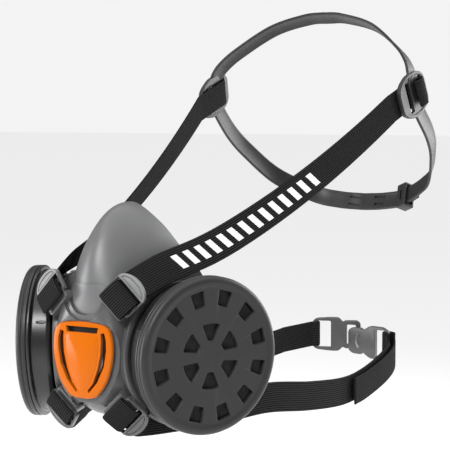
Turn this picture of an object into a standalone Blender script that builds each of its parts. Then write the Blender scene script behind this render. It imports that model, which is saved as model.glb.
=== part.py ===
"""Half-mask respirator for painting: cup, yoke, twin filters, valves, head cradle and neck strap.

Lengths below are millimetres and are turned into metres when a mesh is made. The wearer looks
along -Y, +X is the wearer's left and +Z is up. The origin is the centre of the face opening.
"""

import math

import bmesh
import bpy
import numpy as np
from mathutils import Matrix, Vector

MM = 0.001
GAP = 0.35              # clearance kept between touching pieces

# Facepiece: four closed control curves from the face seal (first) to the front panel (last).
# Each lists the right half from the nose top down to the chin, and is mirrored.
SEAL_EDGE = [(0, -6, 66.3), (16, -2, 56), (30, 2, 39.5), (43, 10, 17), (46, 13, -16), (38, 8, -40),
             (22, 0, -54), (0, -6, -59)]
SEAL_HANDLE = [(0, -32, 69), (15, -24, 60), (25, -16, 42), (34, -8, 14), (36, -6, -17), (31, -8, -40),
               (19, -14, -56), (0, -20, -61)]
FRONT_HANDLE = [(0, -54, 42), (13, -50, 33), (21, -43, 20), (25, -35, 4), (24, -34, -20), (23, -36, -40),
                (13, -41, -54), (0, -44, -59)]
FRONT_EDGE = [(0, -52, 3), (9, -51.8, 2), (15, -51.4, -3), (19, -51, -10), (19, -51, -24), (15, -51, -36),
              (9, -51, -43), (0, -51, -46)]
CUP_WALL = 2.4
CUP_CLEARANCE = 0.6     # between the cup and the yoke, which meet only at the valve bores
FORM_BACK_Y = 24.0      # how far back the cup's form runs where it is used as a cutter
SEAL_LIP = 9.0          # width of the in-turned face seal

# Filter ports: centre of the yoke's port face and the filter's axis, on the wearer's left.
PORT_CENTRE = (42.7, -10.0, -19.35)
PORT_YAW = 65.4         # degrees that the filter axis turns from straight ahead to the side
PORT_TILT = -1.5        # degrees that it rises
PORT_R = 45.0
PORT_FLANGE = 3.0
HUB_R = 20.8
HUB_DEPTH = 6.0
NECK_BORE_R = 16.0
NECK_R = 15.5
NECK_WALL = 1.8
LUG_R = 18.4
LUG_GROOVE_R = 18.9
LUG_TOP = -3.3          # depth of the lugs' upper side under the port face
LUG_LIP = -2.9          # depth of the lip that the lugs turn under
LUG_SPAN = 32.0         # degrees
LUG_NOTCH_SPAN = 38.0
LUG_COUNT = 3
LUG_LOCK_TURN = 40.0    # degrees of turn from locked to the notches

# Filters, heights above the port face along the filter's axis.
DRUM_R = 42.5
DRUM_WALL = 1.8
DRUM_BASE = 3.0
DRUM_FLANGE_LOW = 15.2
DRUM_TOP = 17.2
FACE_HEIGHT = 24.0
CAP_R = 46.0
CAP_SKIN = 2.6
CAP_SPIGOT_R = 40.3
CAP_SPIGOT_LOW = 11.5
MEDIA_R = 38.2
MEDIA_LOW = 5.4
MEDIA_TOP = 20.2
GASKET_R = (33.0, 40.0)
OUTER_SLOTS = 12
OUTER_SLOT_R = (29.5, 38.3)
OUTER_SLOT_W = (6.8, 9.0)
INNER_SLOTS = 6
INNER_SLOT_R = (9.5, 19.0)
INNER_SLOT_SPAN = (24.0, 36.0)

# Valves.
EXHALE_CENTRE = (0, -22)
EXHALE_R = 12.0
INHALE_R = 12.5
FLAP_T = 0.8

# Yoke and cover.
YOKE_SKIN = 3.8
YOKE_BACK_Y = -30.0
COVER_FRONT_Y = -57.4
COVER_BACK_Y = -54.6
COVER_OUTLINE = [(0, -0.2), (10, -0.7), (17, -2.4), (20, -7), (21, -15), (20, -24), (16.5, -34),
                 (10, -42.5), (5, -44.4), (0, -44.6)]

# Strap ladders: bar centre, bar direction (inner to outer end) and the way the strap leaves.
UPPER_LADDER = ((25.6, -51.1, 15.6), (0.703, 0.088, -0.706), (0.65, 0.30, 0.70))
LOWER_LADDER = ((22.9, -44.9, -54.3), (0.739, -0.067, 0.672), (0.63, 0.42, -0.66))
LADDER_T = 3.0
LADDER_HALF_LENGTH = 12.2
LADDER_SLOT_HALF_LENGTH = 9.9
LADDER_BAR_R = 1.6
LADDER_SLOT = 5.2       # distance of the slots' outer sides from the bar's axis
LADDER_ROOT = (-13.0, -7.0)   # how far a ladder's root reaches towards the saddle, and how deep
TAB_REACH = 12.4

# Straps.
UPPER = "upper"
LOWER = "lower"
STRAP_W = 19.0
STRAP_T = 1.5
ANCHOR_W = 16.8
ANCHOR_R = 3.0          # middle of the strap round a ladder bar
ANCHOR_LEAVE = 8.0      # where the strap turns off the ladder towards its pad or the neck
ANCHOR_REACH = {UPPER: 7.0, LOWER: 1.6}   # length of an anchor past that turn
SWING_GAP = 8.0         # strap left out at each swing line, where the webbing bends
UPPER_SAG = 11.0        # how far the middle of a head strap hangs under a straight line
PORT_RISE = ((0, 0.05, 0.1, 0.14, 0.2, 0.28), (0, 3.2, 3.2, 2.4, 1.0, 0))   # lift over the port, by place
PORT_RELIEF = 41.0      # flat on each port flange's top edge, under its head strap

# Head cradle.
PAD_CENTRE = (80.0, 216.0, 131.0)
PAD_ALONG = (0.02, 0.943, 0.332)
PAD_UP = (-0.11, -0.33, 0.94)
PAD_OUTLINE = [(-20, -8), (-20, 8), (-13, 13), (-4, 17.5), (8, 17.5), (17, 12), (20, 8), (20, -8),
               (15, -13), (5, -17.5), (-6, -17.5), (-14, -13)]
PAD_T = 2.4
PAD_FRONT_SLOT = (-9.5, -3.5)
PAD_REAR_SLOT = (11.0, 15.0)
PAD_SLOT_HALF_LENGTH = 10.6
HEAD_CENTRE = (0.0, 190.0, 100.0)
BACK_UP = (0.0, 0.4, 0.91)   # way up along the skull at the back of the head
BAND_W = 13.5
BAND_T = 2.0
CROWN_ROUTE = [(78.5, 217, 145), (74.5, 221, 153), (64.5, 227, 163), (41, 236.5, 179), (15, 240, 186.4),
               (0, 240.5, 187.3)]
TAIL_ROUTE = [(81.3, 226, 119), (81.2, 243, 104), (76.5, 259, 90), (63, 281, 70), (38, 296.5, 56.5),
              (19, 300.5, 52.6), (0, 301.5, 51.4)]
TAIL_END_X = (3.0, 52.0)   # free ends of the left tail (inside) and the right tail (outside)
KEEPER_X = 39.0
KEEPER_LENGTH = 10.0

# Neck strap and clasp. The two routes run from the swing line to the clasp's bars.
NECK_ROUTE = [(26.5, -30, -58.8), (31, -19, -58.8), (37.6, -4, -58.5), (47, 18, -58), (55, 60, -57),
              (57, 112, -63.5), (55.5, 160, -68)]
NECK_END_LEFT = [(52, 196, -67.5), (47, 235, -63), (41, 264, -58)]
NECK_END_RIGHT = [(54, 200, -64), (51, 235, -57), (46, 262, -53)]
TAIL_STEPS = [(2.6, 2.4, -2), (3.4, 1.6, -1.5), (3.6, 1.0, -1)]   # tail's distance from the left strap
CLASP_T = 3.0
CLASP_SLOT_REACH = 10.1
LOOP_CENTRE = (-18.3, 294.5, -50.5)
LOOP_TURN = 17.7        # degrees that the loop half turns from straight across
LOOP_OUTLINE = [(19.5, -8), (16, -12), (5, -13), (-2, -13), (-5, -9.6), (-7, -10.8), (-16, -11), (-18.8, -9),
                (-18.8, 9), (-16, 11), (-7, 10.8), (-5, 9.6), (-2, 13), (5, 13), (16, 12), (19.5, 8)]
LOOP_BAR = (17.25, 2.25)   # bar's middle and half its width
LOOP_SLOT = (4.0, 15.0)
LOOP_WINDOW = ((-15.3, -8.2), 7.6)
HOOK_CENTRE = (13.0, 290.4, -54.0)
HOOK_TURN = -12.0
HOOK_OUTLINE = [(21, -7.5), (17, -10), (9, -10.2), (6.5, -8.6), (4.5, -10), (0, -12.4), (-12, -12.4),
                (-17.7, -9.5), (-17.7, 9.5), (-12, 12.4), (0, 12.4), (4.5, 10), (6.5, 8.6), (9, 10.2),
                (17, 10), (21, 7.5)]
HOOK_BAR = (-16.0, 1.7)
HOOK_SLOT = (-14.3, -5.0)
HOOK_LIP = ((19.4, 21.0), (-3.2, 7.0), 6.4)   # lip's reach along the half, across it, and its height

CHARCOAL = (0.028, 0.029, 0.031)
GRAPHITE = (0.06, 0.062, 0.066)
SOFT_GREY = (0.17, 0.175, 0.18)
ORANGE = (0.95, 0.23, 0.01)
WEBBING = (0.012, 0.012, 0.013)
RUBBER = (0.01, 0.01, 0.01)
FELT = (0.05, 0.05, 0.052)
SILICONE = (0.55, 0.56, 0.55)


def unit(vector):
    """Return the vector at length one."""
    vector = np.asarray(vector, float)
    return vector / np.linalg.norm(vector)


def mirrored(half):
    """Close a half outline by mirroring it in X; its first and last points lie on X = 0."""
    half = [tuple(map(float, point)) for point in half]
    back = [(-point[0],) + point[1:] for point in half[-2:0:-1]]
    return half + back


def smooth_path(points, per_span, closed=False):
    """Catmull-Rom curve through the points, as an array."""
    points = np.asarray(points, float)
    count = len(points)
    spans = count if closed else count - 1
    if closed:
        padded = np.vstack([points[-1], points, points[:2]])
    else:
        padded = np.vstack([2 * points[0] - points[1], points, 2 * points[-1] - points[-2]])
    out = []
    for index in range(spans):
        p0, p1, p2, p3 = padded[index:index + 4]
        for step in range(per_span):
            t = step / per_span
            out.append(0.5 * (2 * p1 + (p2 - p0) * t + (2 * p0 - 5 * p1 + 4 * p2 - p3) * t ** 2
                              + (3 * p1 - p0 - 3 * p2 + p3) * t ** 3))
    if not closed:
        out.append(points[-1])
    return np.array(out)


def material(name, colour, roughness, metallic=0.0):
    """Make a Principled material."""
    made = bpy.data.materials.new(name)
    made.use_nodes = True
    shader = made.node_tree.nodes["Principled BSDF"]
    shader.inputs["Base Color"].default_value = (*colour, 1.0)
    shader.inputs["Roughness"].default_value = roughness
    shader.inputs["Metallic"].default_value = metallic
    return made


def add_object(name, bm, colour=GRAPHITE, roughness=0.5, hidden=False):
    """Link a bmesh in millimetres as an object in metres."""
    bmesh.ops.remove_doubles(bm, verts=bm.verts, dist=1e-4)
    bmesh.ops.recalc_face_normals(bm, faces=bm.faces)
    bmesh.ops.scale(bm, vec=(MM, MM, MM), verts=bm.verts)
    mesh = bpy.data.meshes.new(name)
    bm.to_mesh(mesh)
    bm.free()
    mesh.shade_smooth()
    mesh.set_sharp_from_angle(angle=math.radians(32))
    made = bpy.data.objects.new(name, mesh)
    bpy.context.scene.collection.objects.link(made)
    if hidden:
        made.hide_render = True
        made.display_type = "WIRE"
    else:
        mesh.materials.append(material(name, colour, roughness))
    return made


def combine(target, other, operation):
    """Put a live exact Boolean on the target."""
    modifier = target.modifiers.new(operation.lower(), "BOOLEAN")
    modifier.operation = operation
    modifier.solver = "EXACT"
    modifier.object = other


def axes(origin, across, along):
    """Matrix of a frame whose X is across and Y is along; Z completes it."""
    across = unit(across)
    along = unit(np.asarray(along, float) - across * float(np.dot(across, along)))
    normal = np.cross(across, along)
    return Matrix([(across[i], along[i], normal[i], origin[i]) for i in range(3)] + [(0, 0, 0, 1)])


def mirror_point(point, side):
    """Take a point or direction of the wearer's left to the given side."""
    return (point[0] * side, point[1], point[2])


def prism(outline, low, high, frame):
    """Extrude a flat outline from low to high along the frame's Z."""
    bm = bmesh.new()
    face = bm.faces.new([bm.verts.new((x, y, low)) for x, y in outline])
    lifted = bmesh.ops.extrude_face_region(bm, geom=[face])
    verts = [item for item in lifted["geom"] if isinstance(item, bmesh.types.BMVert)]
    bmesh.ops.translate(bm, vec=(0, 0, high - low), verts=verts)
    bmesh.ops.transform(bm, matrix=frame, verts=bm.verts)
    return bm


def merge(parts):
    """Put several closed bmeshes into one, freeing the others."""
    first = parts[0]
    for part in parts[1:]:
        mesh = bpy.data.meshes.new("merge")
        part.to_mesh(mesh)
        part.free()
        first.from_mesh(mesh)
        bpy.data.meshes.remove(mesh)
    return first


def turned(profile, frame, steps=48):
    """Spin a closed (radius, height) profile about the frame's Z."""
    bm = bmesh.new()
    verts = [bm.verts.new((radius, 0, height)) for radius, height in profile]
    pairs = zip(verts, verts[1:] + verts[:1])
    edges = [bm.edges.new(pair) for pair in pairs if not (pair[0].co.x < 1e-6 and pair[1].co.x < 1e-6)]
    bmesh.ops.spin(bm, geom=edges, axis=(0, 0, 1), cent=(0, 0, 0), angle=math.tau, steps=steps,
                   use_merge=True)
    bmesh.ops.remove_doubles(bm, verts=bm.verts, dist=1e-4)
    bmesh.ops.transform(bm, matrix=frame, verts=bm.verts)
    return bm


def ribbon(path, widths, width, thickness):
    """Sweep a flat strap along a path; widths gives the direction of its width at each point."""
    bm = bmesh.new()
    path = np.asarray(path, float)
    tangents = np.gradient(path, axis=0)
    rings = []
    for point, tangent, across in zip(path, tangents, widths):
        tangent = unit(tangent)
        across = unit(np.asarray(across, float) - tangent * float(np.dot(tangent, across)))
        normal = np.cross(tangent, across)
        corners = [(-1, -1), (1, -1), (1, 1), (-1, 1)]
        rings.append([bm.verts.new(point + across * (a * width / 2) + normal * (b * thickness / 2))
                      for a, b in corners])
    for near, far in zip(rings, rings[1:]):
        for index in range(4):
            after = (index + 1) % 4
            bm.faces.new((near[index], near[after], far[after], far[index]))
    bm.faces.new(rings[0])
    bm.faces.new(rings[-1])
    return bm


def blend_directions(start, end, count, power=1.0):
    """Directions that turn from start to end over count points."""
    steps = np.linspace(0, 1, count) ** power
    return [unit((1 - t) * unit(start) + t * unit(end)) for t in steps]


def sector(radius_in, radius_out, degrees, middle):
    """Outline of a ring's sector centred on an angle measured from +Y, in degrees."""
    spread = np.radians(np.linspace(-degrees / 2, degrees / 2, 5) + middle)
    outer = [(radius_out * math.sin(a), radius_out * math.cos(a)) for a in spread]
    inner = [(radius_in * math.sin(a), radius_in * math.cos(a)) for a in spread[::-1]]
    return outer + inner


# ---------------------------------------------------------------- facepiece

def cup_grid(rings=9, per_span=3):
    """Points of the cup's outer skin, from the seal edge to the front panel, ring by ring."""
    curves = [smooth_path(mirrored(half), per_span, closed=True)
              for half in (SEAL_EDGE, SEAL_HANDLE, FRONT_HANDLE, FRONT_EDGE)]
    grid = []
    for t in np.linspace(0, 1, rings):
        weights = ((1 - t) ** 3, 3 * t * (1 - t) ** 2, 3 * t ** 2 * (1 - t), t ** 3)
        grid.append(sum(weight * curve for weight, curve in zip(weights, curves)))
    return np.array(grid)


def grid_normals(grid):
    """Outward unit normals of the cup's skin."""
    along = np.gradient(grid, axis=0)
    around = np.roll(grid, -1, axis=1) - np.roll(grid, 1, axis=1)
    normals = np.cross(around, along)
    normals /= np.linalg.norm(normals, axis=2, keepdims=True)
    outward = grid - np.array([0.0, 0.0, 0.0])
    sign = np.sign((normals[4] * outward[4]).sum())
    return normals * sign


def close_rings(bm, grid):
    """Bridge the rings of a grid and fan its last ring to its middle; returns the first ring."""
    rows = [[bm.verts.new(point) for point in ring] for ring in grid]
    count = len(rows[0])
    for near, far in zip(rows, rows[1:]):
        for index in range(count):
            after = (index + 1) % count
            bm.faces.new((near[index], near[after], far[after], far[index]))
    middle = bm.verts.new(np.mean(grid[-1], axis=0))
    for index in range(count):
        bm.faces.new((rows[-1][index], rows[-1][(index + 1) % count], middle))
    return rows[0]


def cup_form(offset):
    """The cup's outer skin moved out by an offset and closed behind the face opening."""
    grid = cup_grid()
    grid = grid + grid_normals(grid) * offset
    back = grid[:1].copy()
    back[:, :, 1] = FORM_BACK_Y
    grid = np.concatenate([back, grid])
    bm = bmesh.new()
    edge = close_rings(bm, grid)
    bm.faces.new(edge)
    return bm


def facepiece():
    """Soft cup: outer skin, inner skin and the in-turned seal that joins them."""
    grid = cup_grid()
    inner = grid - grid_normals(grid) * CUP_WALL
    inner[0] = grid[0]
    lip = grid[0] + np.array([unit(-point) for point in grid[0]]) * SEAL_LIP
    lip[:, 1] -= 1.0
    under = lip.copy()
    under[:, 1] -= 1.8
    bm = bmesh.new()
    outer_edge = close_rings(bm, grid)
    inner_rows = np.concatenate([[under], inner[1:]])
    inner_edge = close_rings(bm, inner_rows)
    lip_row = [bm.verts.new(point) for point in lip]
    count = len(lip_row)
    for near, far in ((outer_edge, lip_row), (lip_row, inner_edge)):
        for index in range(count):
            after = (index + 1) % count
            bm.faces.new((near[index], near[after], far[after], far[index]))
    cup = add_object("facepiece", bm, SOFT_GREY, 0.45)
    for side in (1, -1):
        bore = turned([(0, -30), (INHALE_R + 1.4, -30), (INHALE_R + 1.4, 8), (0, 8)], port_frame(side), 32)
        combine(cup, add_object("inhale_bore_cut", bore, hidden=True), "DIFFERENCE")
    bore = turned([(0, -20), (EXHALE_R + 1.4, -20), (EXHALE_R + 1.4, 12), (0, 12)], front_frame(-46), 32)
    combine(cup, add_object("exhale_bore_cut", bore, hidden=True), "DIFFERENCE")


# ---------------------------------------------------------------- frames

def port_axis(side):
    """Unit direction of a filter's axis, away from the face."""
    yaw = math.radians(PORT_YAW)
    tilt = math.radians(PORT_TILT)
    return np.array([side * math.sin(yaw) * math.cos(tilt), -math.cos(yaw) * math.cos(tilt),
                     math.sin(tilt)])


def port_frame(side):
    """Frame of a port: origin at the port face's centre, Z along the filter's axis, Y upwards."""
    normal = port_axis(side)
    up = unit(np.array([0, 0, 1.0]) - normal * normal[2])
    return axes(mirror_point(PORT_CENTRE, side), np.cross(up, normal), up)


def front_frame(y):
    """Frame of the exhalation valve: Z points forward, Y upwards, origin at depth y."""
    return axes((EXHALE_CENTRE[0], y, EXHALE_CENTRE[1]), (1, 0, 0), (0, 0, 1))


def ladder_frame(ladder, side):
    """Frame of a strap ladder: X along the bar, Y the way the strap leaves, Z outwards."""
    centre, bar, leave = ladder
    bar = unit(bar)
    leave = unit(np.asarray(leave) - bar * float(np.dot(bar, leave)))
    frame = axes(mirror_point(centre, side), mirror_point(bar, side), mirror_point(leave, side))
    if frame.col[2][1] > 0:
        frame = axes(mirror_point(centre, side), mirror_point(-bar, side), mirror_point(leave, side))
    return frame


def pad_frame(side):
    """Frame of a cradle pad: X along the strap, Y up the pad, Z away from the head."""
    frame = axes(mirror_point(PAD_CENTRE, side), mirror_point(PAD_ALONG, side), mirror_point(PAD_UP, side))
    if frame.col[2][0] * side < 0:
        frame = axes(mirror_point(PAD_CENTRE, side), mirror_point(PAD_ALONG, side),
                     tuple(-value for value in mirror_point(PAD_UP, side)))
    return frame


# ---------------------------------------------------------------- yoke

def yoke_outline():
    """Front outline of the saddle: notched over the nose and over the chin."""
    half = [(0, 3.2), (6, 4.2), (10, 8.5), (14, 13.5), (18, 16), (24, 15), (31, 7), (38, -10), (37, -34),
            (31, -46), (20, -52), (13, -53), (9, -48.5), (0, -47)]
    return mirrored(half)


def ladder_outline():
    """Outline of a ladder with its D tab, in the ladder's own frame."""
    half_length = LADDER_HALF_LENGTH
    low = -LADDER_SLOT - 2
    base = [(-half_length, LADDER_SLOT), (-half_length, low), (half_length, low), (half_length, LADDER_SLOT)]
    tab = [(half_length * math.cos(a), LADDER_SLOT + (TAB_REACH - LADDER_SLOT) * math.sin(a))
           for a in np.linspace(0, math.pi, 9)[1:-1]]
    return base + tab


def ladder_cuts(frame):
    """The two slots beside a ladder's bar."""
    length = LADDER_SLOT_HALF_LENGTH
    cuts = []
    for low, high in ((-LADDER_SLOT, -LADDER_BAR_R), (LADDER_BAR_R, LADDER_SLOT)):
        outline = [(-length, low), (length, low), (length, high), (-length, high)]
        cuts.append(prism(outline, -LADDER_T, LADDER_T, frame))
    return cuts


def yoke():
    """Saddle, port flanges with bayonet hubs, and four strap ladders."""
    front = axes((0, 0, 0), (1, 0, 0), (0, 0, 1))
    body = add_object("yoke", cup_form(YOKE_SKIN), GRAPHITE, 0.42)
    outline = add_object("yoke_outline_cut", prism(yoke_outline(), -YOKE_BACK_Y, 75, front), hidden=True)
    combine(body, outline, "INTERSECT")
    for side in (1, -1):
        for ladder in (UPPER_LADDER, LOWER_LADDER):
            frame = ladder_frame(ladder, side)
            plate = prism(ladder_outline(), -LADDER_T / 2, LADDER_T / 2, frame)
            combine(body, add_object("ladder_add", plate, hidden=True), "UNION")
            reach, depth = LADDER_ROOT
            half = LADDER_HALF_LENGTH - 2.5
            root = [(-half, reach), (half, reach), (half, -LADDER_SLOT - 0.3), (-half, -LADDER_SLOT - 0.3)]
            block = prism(root, depth, LADDER_T / 2 - 0.3, frame)
            combine(body, add_object("ladder_root_add", block, hidden=True), "UNION")
    combine(body, add_object("cup_cut", cup_form(CUP_CLEARANCE), hidden=True), "DIFFERENCE")
    for side in (1, -1):
        flange = [(LUG_GROOVE_R, -HUB_DEPTH), (HUB_R, -HUB_DEPTH), (HUB_R, -PORT_FLANGE),
                  (PORT_R - 1, -PORT_FLANGE), (PORT_R, -PORT_FLANGE + 1), (PORT_R, 1.2), (PORT_R - 1, 1.8),
                  (PORT_R - 3, 1.8), (PORT_R - 3.6, 0), (NECK_BORE_R, 0), (NECK_BORE_R, LUG_LIP),
                  (LUG_GROOVE_R, LUG_LIP)]
        port = turned(flange, port_frame(side), 48)
        combine(body, add_object("port_add", port, hidden=True), "UNION")
    cuts = []
    for side in (1, -1):
        frame = port_frame(side)
        for index in range(LUG_COUNT):
            middle = index * 360 / LUG_COUNT + side * LUG_LOCK_TURN
            notch = sector(NECK_BORE_R - 1, LUG_GROOVE_R - 0.1, LUG_NOTCH_SPAN, middle)
            cuts.append(prism(notch, -4, 3, frame))
        relief = [(-30, PORT_RELIEF), (30, PORT_RELIEF), (30, PORT_R + 5), (-30, PORT_R + 5)]
        cuts.append(prism(relief, -PORT_FLANGE - 1, 4, frame))
        for ladder in (UPPER_LADDER, LOWER_LADDER):
            cuts.extend(ladder_cuts(ladder_frame(ladder, side)))
    combine(body, add_object("slot_cut", merge(cuts), hidden=True), "DIFFERENCE")
    valve = turned([(0, -6), (EXHALE_R + 1.4, -6), (EXHALE_R + 1.4, 12), (0, 12)], front_frame(-50), 40)
    combine(body, add_object("valve_bore_cut", valve, hidden=True), "DIFFERENCE")
    pocket = [(x * 1.02, z * 1.01 + 0.2) for x, z in mirrored(COVER_OUTLINE)]
    pocket_cut = prism(pocket, -COVER_BACK_Y - GAP, 70, front)
    combine(body, add_object("pocket_cut", pocket_cut, hidden=True), "DIFFERENCE")


def valve_cover():
    """Shield-shaped cover with a raised inner shield and three slots round it."""
    front = axes((0, 0, 0), (1, 0, 0), (0, 0, 1))
    outline = mirrored(COVER_OUTLINE)
    cover = add_object("valve_cover", prism(outline, -COVER_BACK_Y, -COVER_FRONT_Y, front), ORANGE, 0.25)
    middle = EXHALE_CENTRE[1]
    inner = [(x * 0.60, middle + (z - middle) * 0.72) for x, z in outline]
    shield = prism(inner, -COVER_BACK_Y, 1.0 - COVER_FRONT_Y, front)
    combine(cover, add_object("shield_add", shield, hidden=True), "UNION")
    slots = [
        [(-9.5, -3.6), (9.5, -3.6), (8.6, -6.0), (-8.6, -6.0)],
        [(13.2, -6.5), (15.4, -6.0), (16.2, -15), (14.6, -25), (9.5, -36), (3.5, -41), (3.0, -39.2),
         (8.0, -34), (12.3, -24), (13.9, -15)],
    ]
    slots.append([(-x, z) for x, z in slots[1]][::-1])
    cuts = [prism(slot, 50, 70, front) for slot in slots]
    combine(cover, add_object("cover_slot_cut", merge(cuts), hidden=True), "DIFFERENCE")


def valves():
    """Exhalation and inhalation valve seats, each with its thin flap."""
    frame = front_frame(-50)
    seat = [(EXHALE_R - 1.6, -3), (EXHALE_R + 1.0, -3), (EXHALE_R + 1.0, 2.2), (EXHALE_R - 1.6, 2.2)]
    exhale = add_object("exhale_valve_seat", spoked_seat(seat, EXHALE_R - 1.2, -2.6, -1.0, frame))
    exhale.data.materials[0] = material("exhale_valve_seat", CHARCOAL, 0.5)
    flap = [(0, 2.5), (EXHALE_R, 2.5), (EXHALE_R, 2.5 + FLAP_T), (0, 2.5 + FLAP_T)]
    add_object("exhale_flap", turned(flap, frame, 32), SILICONE, 0.35)
    for side, name in ((1, "left"), (-1, "right")):
        frame = port_frame(side)
        seat = [(INHALE_R - 1.8, -11), (INHALE_R + 1.0, -11), (INHALE_R + 1.0, -6.6), (INHALE_R - 1.8, -6.6)]
        body = spoked_seat(seat, INHALE_R - 1.4, -8.4, -7.0, frame)
        add_object(f"inhale_valve_seat_{name}", body, CHARCOAL, 0.5)
        flap = [(0, -11.4 - FLAP_T), (INHALE_R, -11.4 - FLAP_T), (INHALE_R, -11.4), (0, -11.4)]
        add_object(f"inhale_flap_{name}", turned(flap, frame, 32), SILICONE, 0.35)


def spoked_seat(profile, web_radius, web_low, web_high, frame):
    """Ring whose inner side carries a cross of two spokes, joined as one body."""
    ring = turned(profile, Matrix.Identity(4), 32)
    mesh_ring = add_object("seat_ring_add", ring, hidden=True)
    arm = 1.1
    reach = web_radius
    cross = [(-arm, -reach), (arm, -reach), (arm, -arm), (reach, -arm), (reach, arm), (arm, arm),
             (arm, reach), (-arm, reach), (-arm, arm), (-reach, arm), (-reach, -arm), (-arm, -arm)]
    base = add_object("seat_cross_add", prism(cross, web_low, web_high, Matrix.Identity(4)), hidden=True)
    combine(base, mesh_ring, "UNION")
    bpy.context.view_layer.update()
    joined = base.evaluated_get(bpy.context.evaluated_depsgraph_get()).to_mesh()
    bm = bmesh.new()
    bm.from_mesh(joined)
    bmesh.ops.scale(bm, vec=(1 / MM, 1 / MM, 1 / MM), verts=bm.verts)
    bmesh.ops.transform(bm, matrix=frame, verts=bm.verts)
    for helper in (mesh_ring, base):
        bpy.data.objects.remove(helper)
    return bm


# ---------------------------------------------------------------- filters

def drum(side, name):
    """Filter housing: cup, flange, neck and bayonet lugs."""
    frame = port_frame(side)
    wall_in = DRUM_R - DRUM_WALL
    neck_in = NECK_R - NECK_WALL
    profile = [(neck_in, -5.4), (NECK_R, -5.4), (NECK_R, DRUM_BASE), (DRUM_R - 3, DRUM_BASE),
               (DRUM_R - 0.9, DRUM_BASE + 0.9), (DRUM_R, DRUM_BASE + 3), (DRUM_R, DRUM_FLANGE_LOW),
               (CAP_R, DRUM_FLANGE_LOW), (CAP_R, DRUM_TOP), (wall_in, DRUM_TOP),
               (wall_in, DRUM_BASE + 2), (neck_in, DRUM_BASE + 2)]
    body = add_object(f"filter_drum_{name}", turned(profile, frame, 48), CHARCOAL, 0.4)
    lugs = [prism(sector(NECK_R - 0.8, LUG_R, LUG_SPAN, index * 360 / LUG_COUNT), -5.4, LUG_TOP, frame)
            for index in range(LUG_COUNT)]
    combine(body, add_object("lug_add", merge(lugs), hidden=True), "UNION")
    return body


def cap_cuts(frame):
    """Cutters of the cap's two rings of slots."""
    cuts = []
    for index in range(OUTER_SLOTS):
        angle = math.radians((index + 0.5) * 360 / OUTER_SLOTS)
        out = np.array([math.sin(angle), math.cos(angle)])
        side = np.array([out[1], -out[0]])
        corners = ((OUTER_SLOT_R[0], OUTER_SLOT_W[0] / 2), (OUTER_SLOT_R[1], OUTER_SLOT_W[1] / 2))
        left = [out * radius + side * half for radius, half in corners]
        right = [out * radius - side * half for radius, half in corners[::-1]]
        cuts.append(prism([tuple(point) for point in left + right], MEDIA_TOP, FACE_HEIGHT + 3, frame))
    for index in range(INNER_SLOTS):
        middle = index * 360 / INNER_SLOTS
        spread_in = math.radians(INNER_SLOT_SPAN[0] / 2)
        spread_out = np.radians(np.linspace(INNER_SLOT_SPAN[1] / 2, -INNER_SLOT_SPAN[1] / 2, 5))
        centre = math.radians(middle)
        outline = [(INNER_SLOT_R[0] * math.sin(centre + a), INNER_SLOT_R[0] * math.cos(centre + a))
                   for a in (-spread_in, spread_in)]
        outline += [(INNER_SLOT_R[1] * math.sin(centre + a), INNER_SLOT_R[1] * math.cos(centre + a))
                    for a in spread_out]
        cuts.append(prism(outline, MEDIA_TOP, FACE_HEIGHT + 3, frame))
    return cuts


def cap(side, name):
    """Pierced cap whose spigot slides inside the drum."""
    frame = port_frame(side)
    spigot_in = CAP_SPIGOT_R - 1.6
    profile = [(0, FACE_HEIGHT), (0, FACE_HEIGHT - CAP_SKIN), (spigot_in, FACE_HEIGHT - CAP_SKIN),
               (spigot_in, CAP_SPIGOT_LOW), (CAP_SPIGOT_R, CAP_SPIGOT_LOW),
               (CAP_SPIGOT_R, DRUM_TOP + GAP), (CAP_R, DRUM_TOP + GAP), (CAP_R, FACE_HEIGHT - 3.2),
               (CAP_R - 0.8, FACE_HEIGHT - 1.3), (CAP_R - 2.4, FACE_HEIGHT - 0.3), (CAP_R - 4, FACE_HEIGHT)]
    body = add_object(f"filter_cap_{name}", turned(profile, frame, 48), CHARCOAL, 0.45)
    combine(body, add_object("cap_slot_cut", merge(cap_cuts(frame)), hidden=True), "DIFFERENCE")


def filters():
    """Both filters with their media and gaskets."""
    for side, name in ((1, "left"), (-1, "right")):
        frame = port_frame(side)
        drum(side, name)
        cap(side, name)
        media = [(0, MEDIA_LOW), (MEDIA_R, MEDIA_LOW), (MEDIA_R, MEDIA_TOP), (0, MEDIA_TOP)]
        add_object(f"filter_media_{name}", turned(media, frame, 32), FELT, 0.95)
        gasket = [(GASKET_R[0], GAP), (GASKET_R[1], GAP), (GASKET_R[1], DRUM_BASE - GAP),
                  (GASKET_R[0], DRUM_BASE - GAP)]
        add_object(f"port_gasket_{name}", turned(gasket, frame, 32), RUBBER, 0.8)


# ---------------------------------------------------------------- straps

def leave_point(ladder, side):
    """Point under the D tab where a strap turns off its ladder."""
    return np.array(ladder_frame(ladder, side) @ Vector((0, ANCHOR_LEAVE, -2.9)))


def upper_route(side):
    """Middle line of a head strap from its ladder to its pad, hanging a little in the middle."""
    start = leave_point(UPPER_LADDER, side)
    end = np.array(pad_frame(side) @ Vector((-27, 0, -PAD_T / 2 - STRAP_T / 2 - 1.2)))
    steps = np.linspace(0, 1, 49)[:, None]
    path = start + (end - start) * steps
    sag = 4 * (steps * (1 - steps))[:, 0]
    rise = np.interp(steps[:, 0], *PORT_RISE)
    path[:, 2] += rise - UPPER_SAG * sag
    return path


def lower_route(side):
    """Middle line of a neck strap from its ladder round to the clasp."""
    ends = NECK_END_LEFT if side > 0 else NECK_END_RIGHT
    points = [mirror_point(point, side) for point in NECK_ROUTE + ends]
    return smooth_path([leave_point(LOWER_LADDER, side)] + [np.array(point) for point in points], 5)


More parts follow.
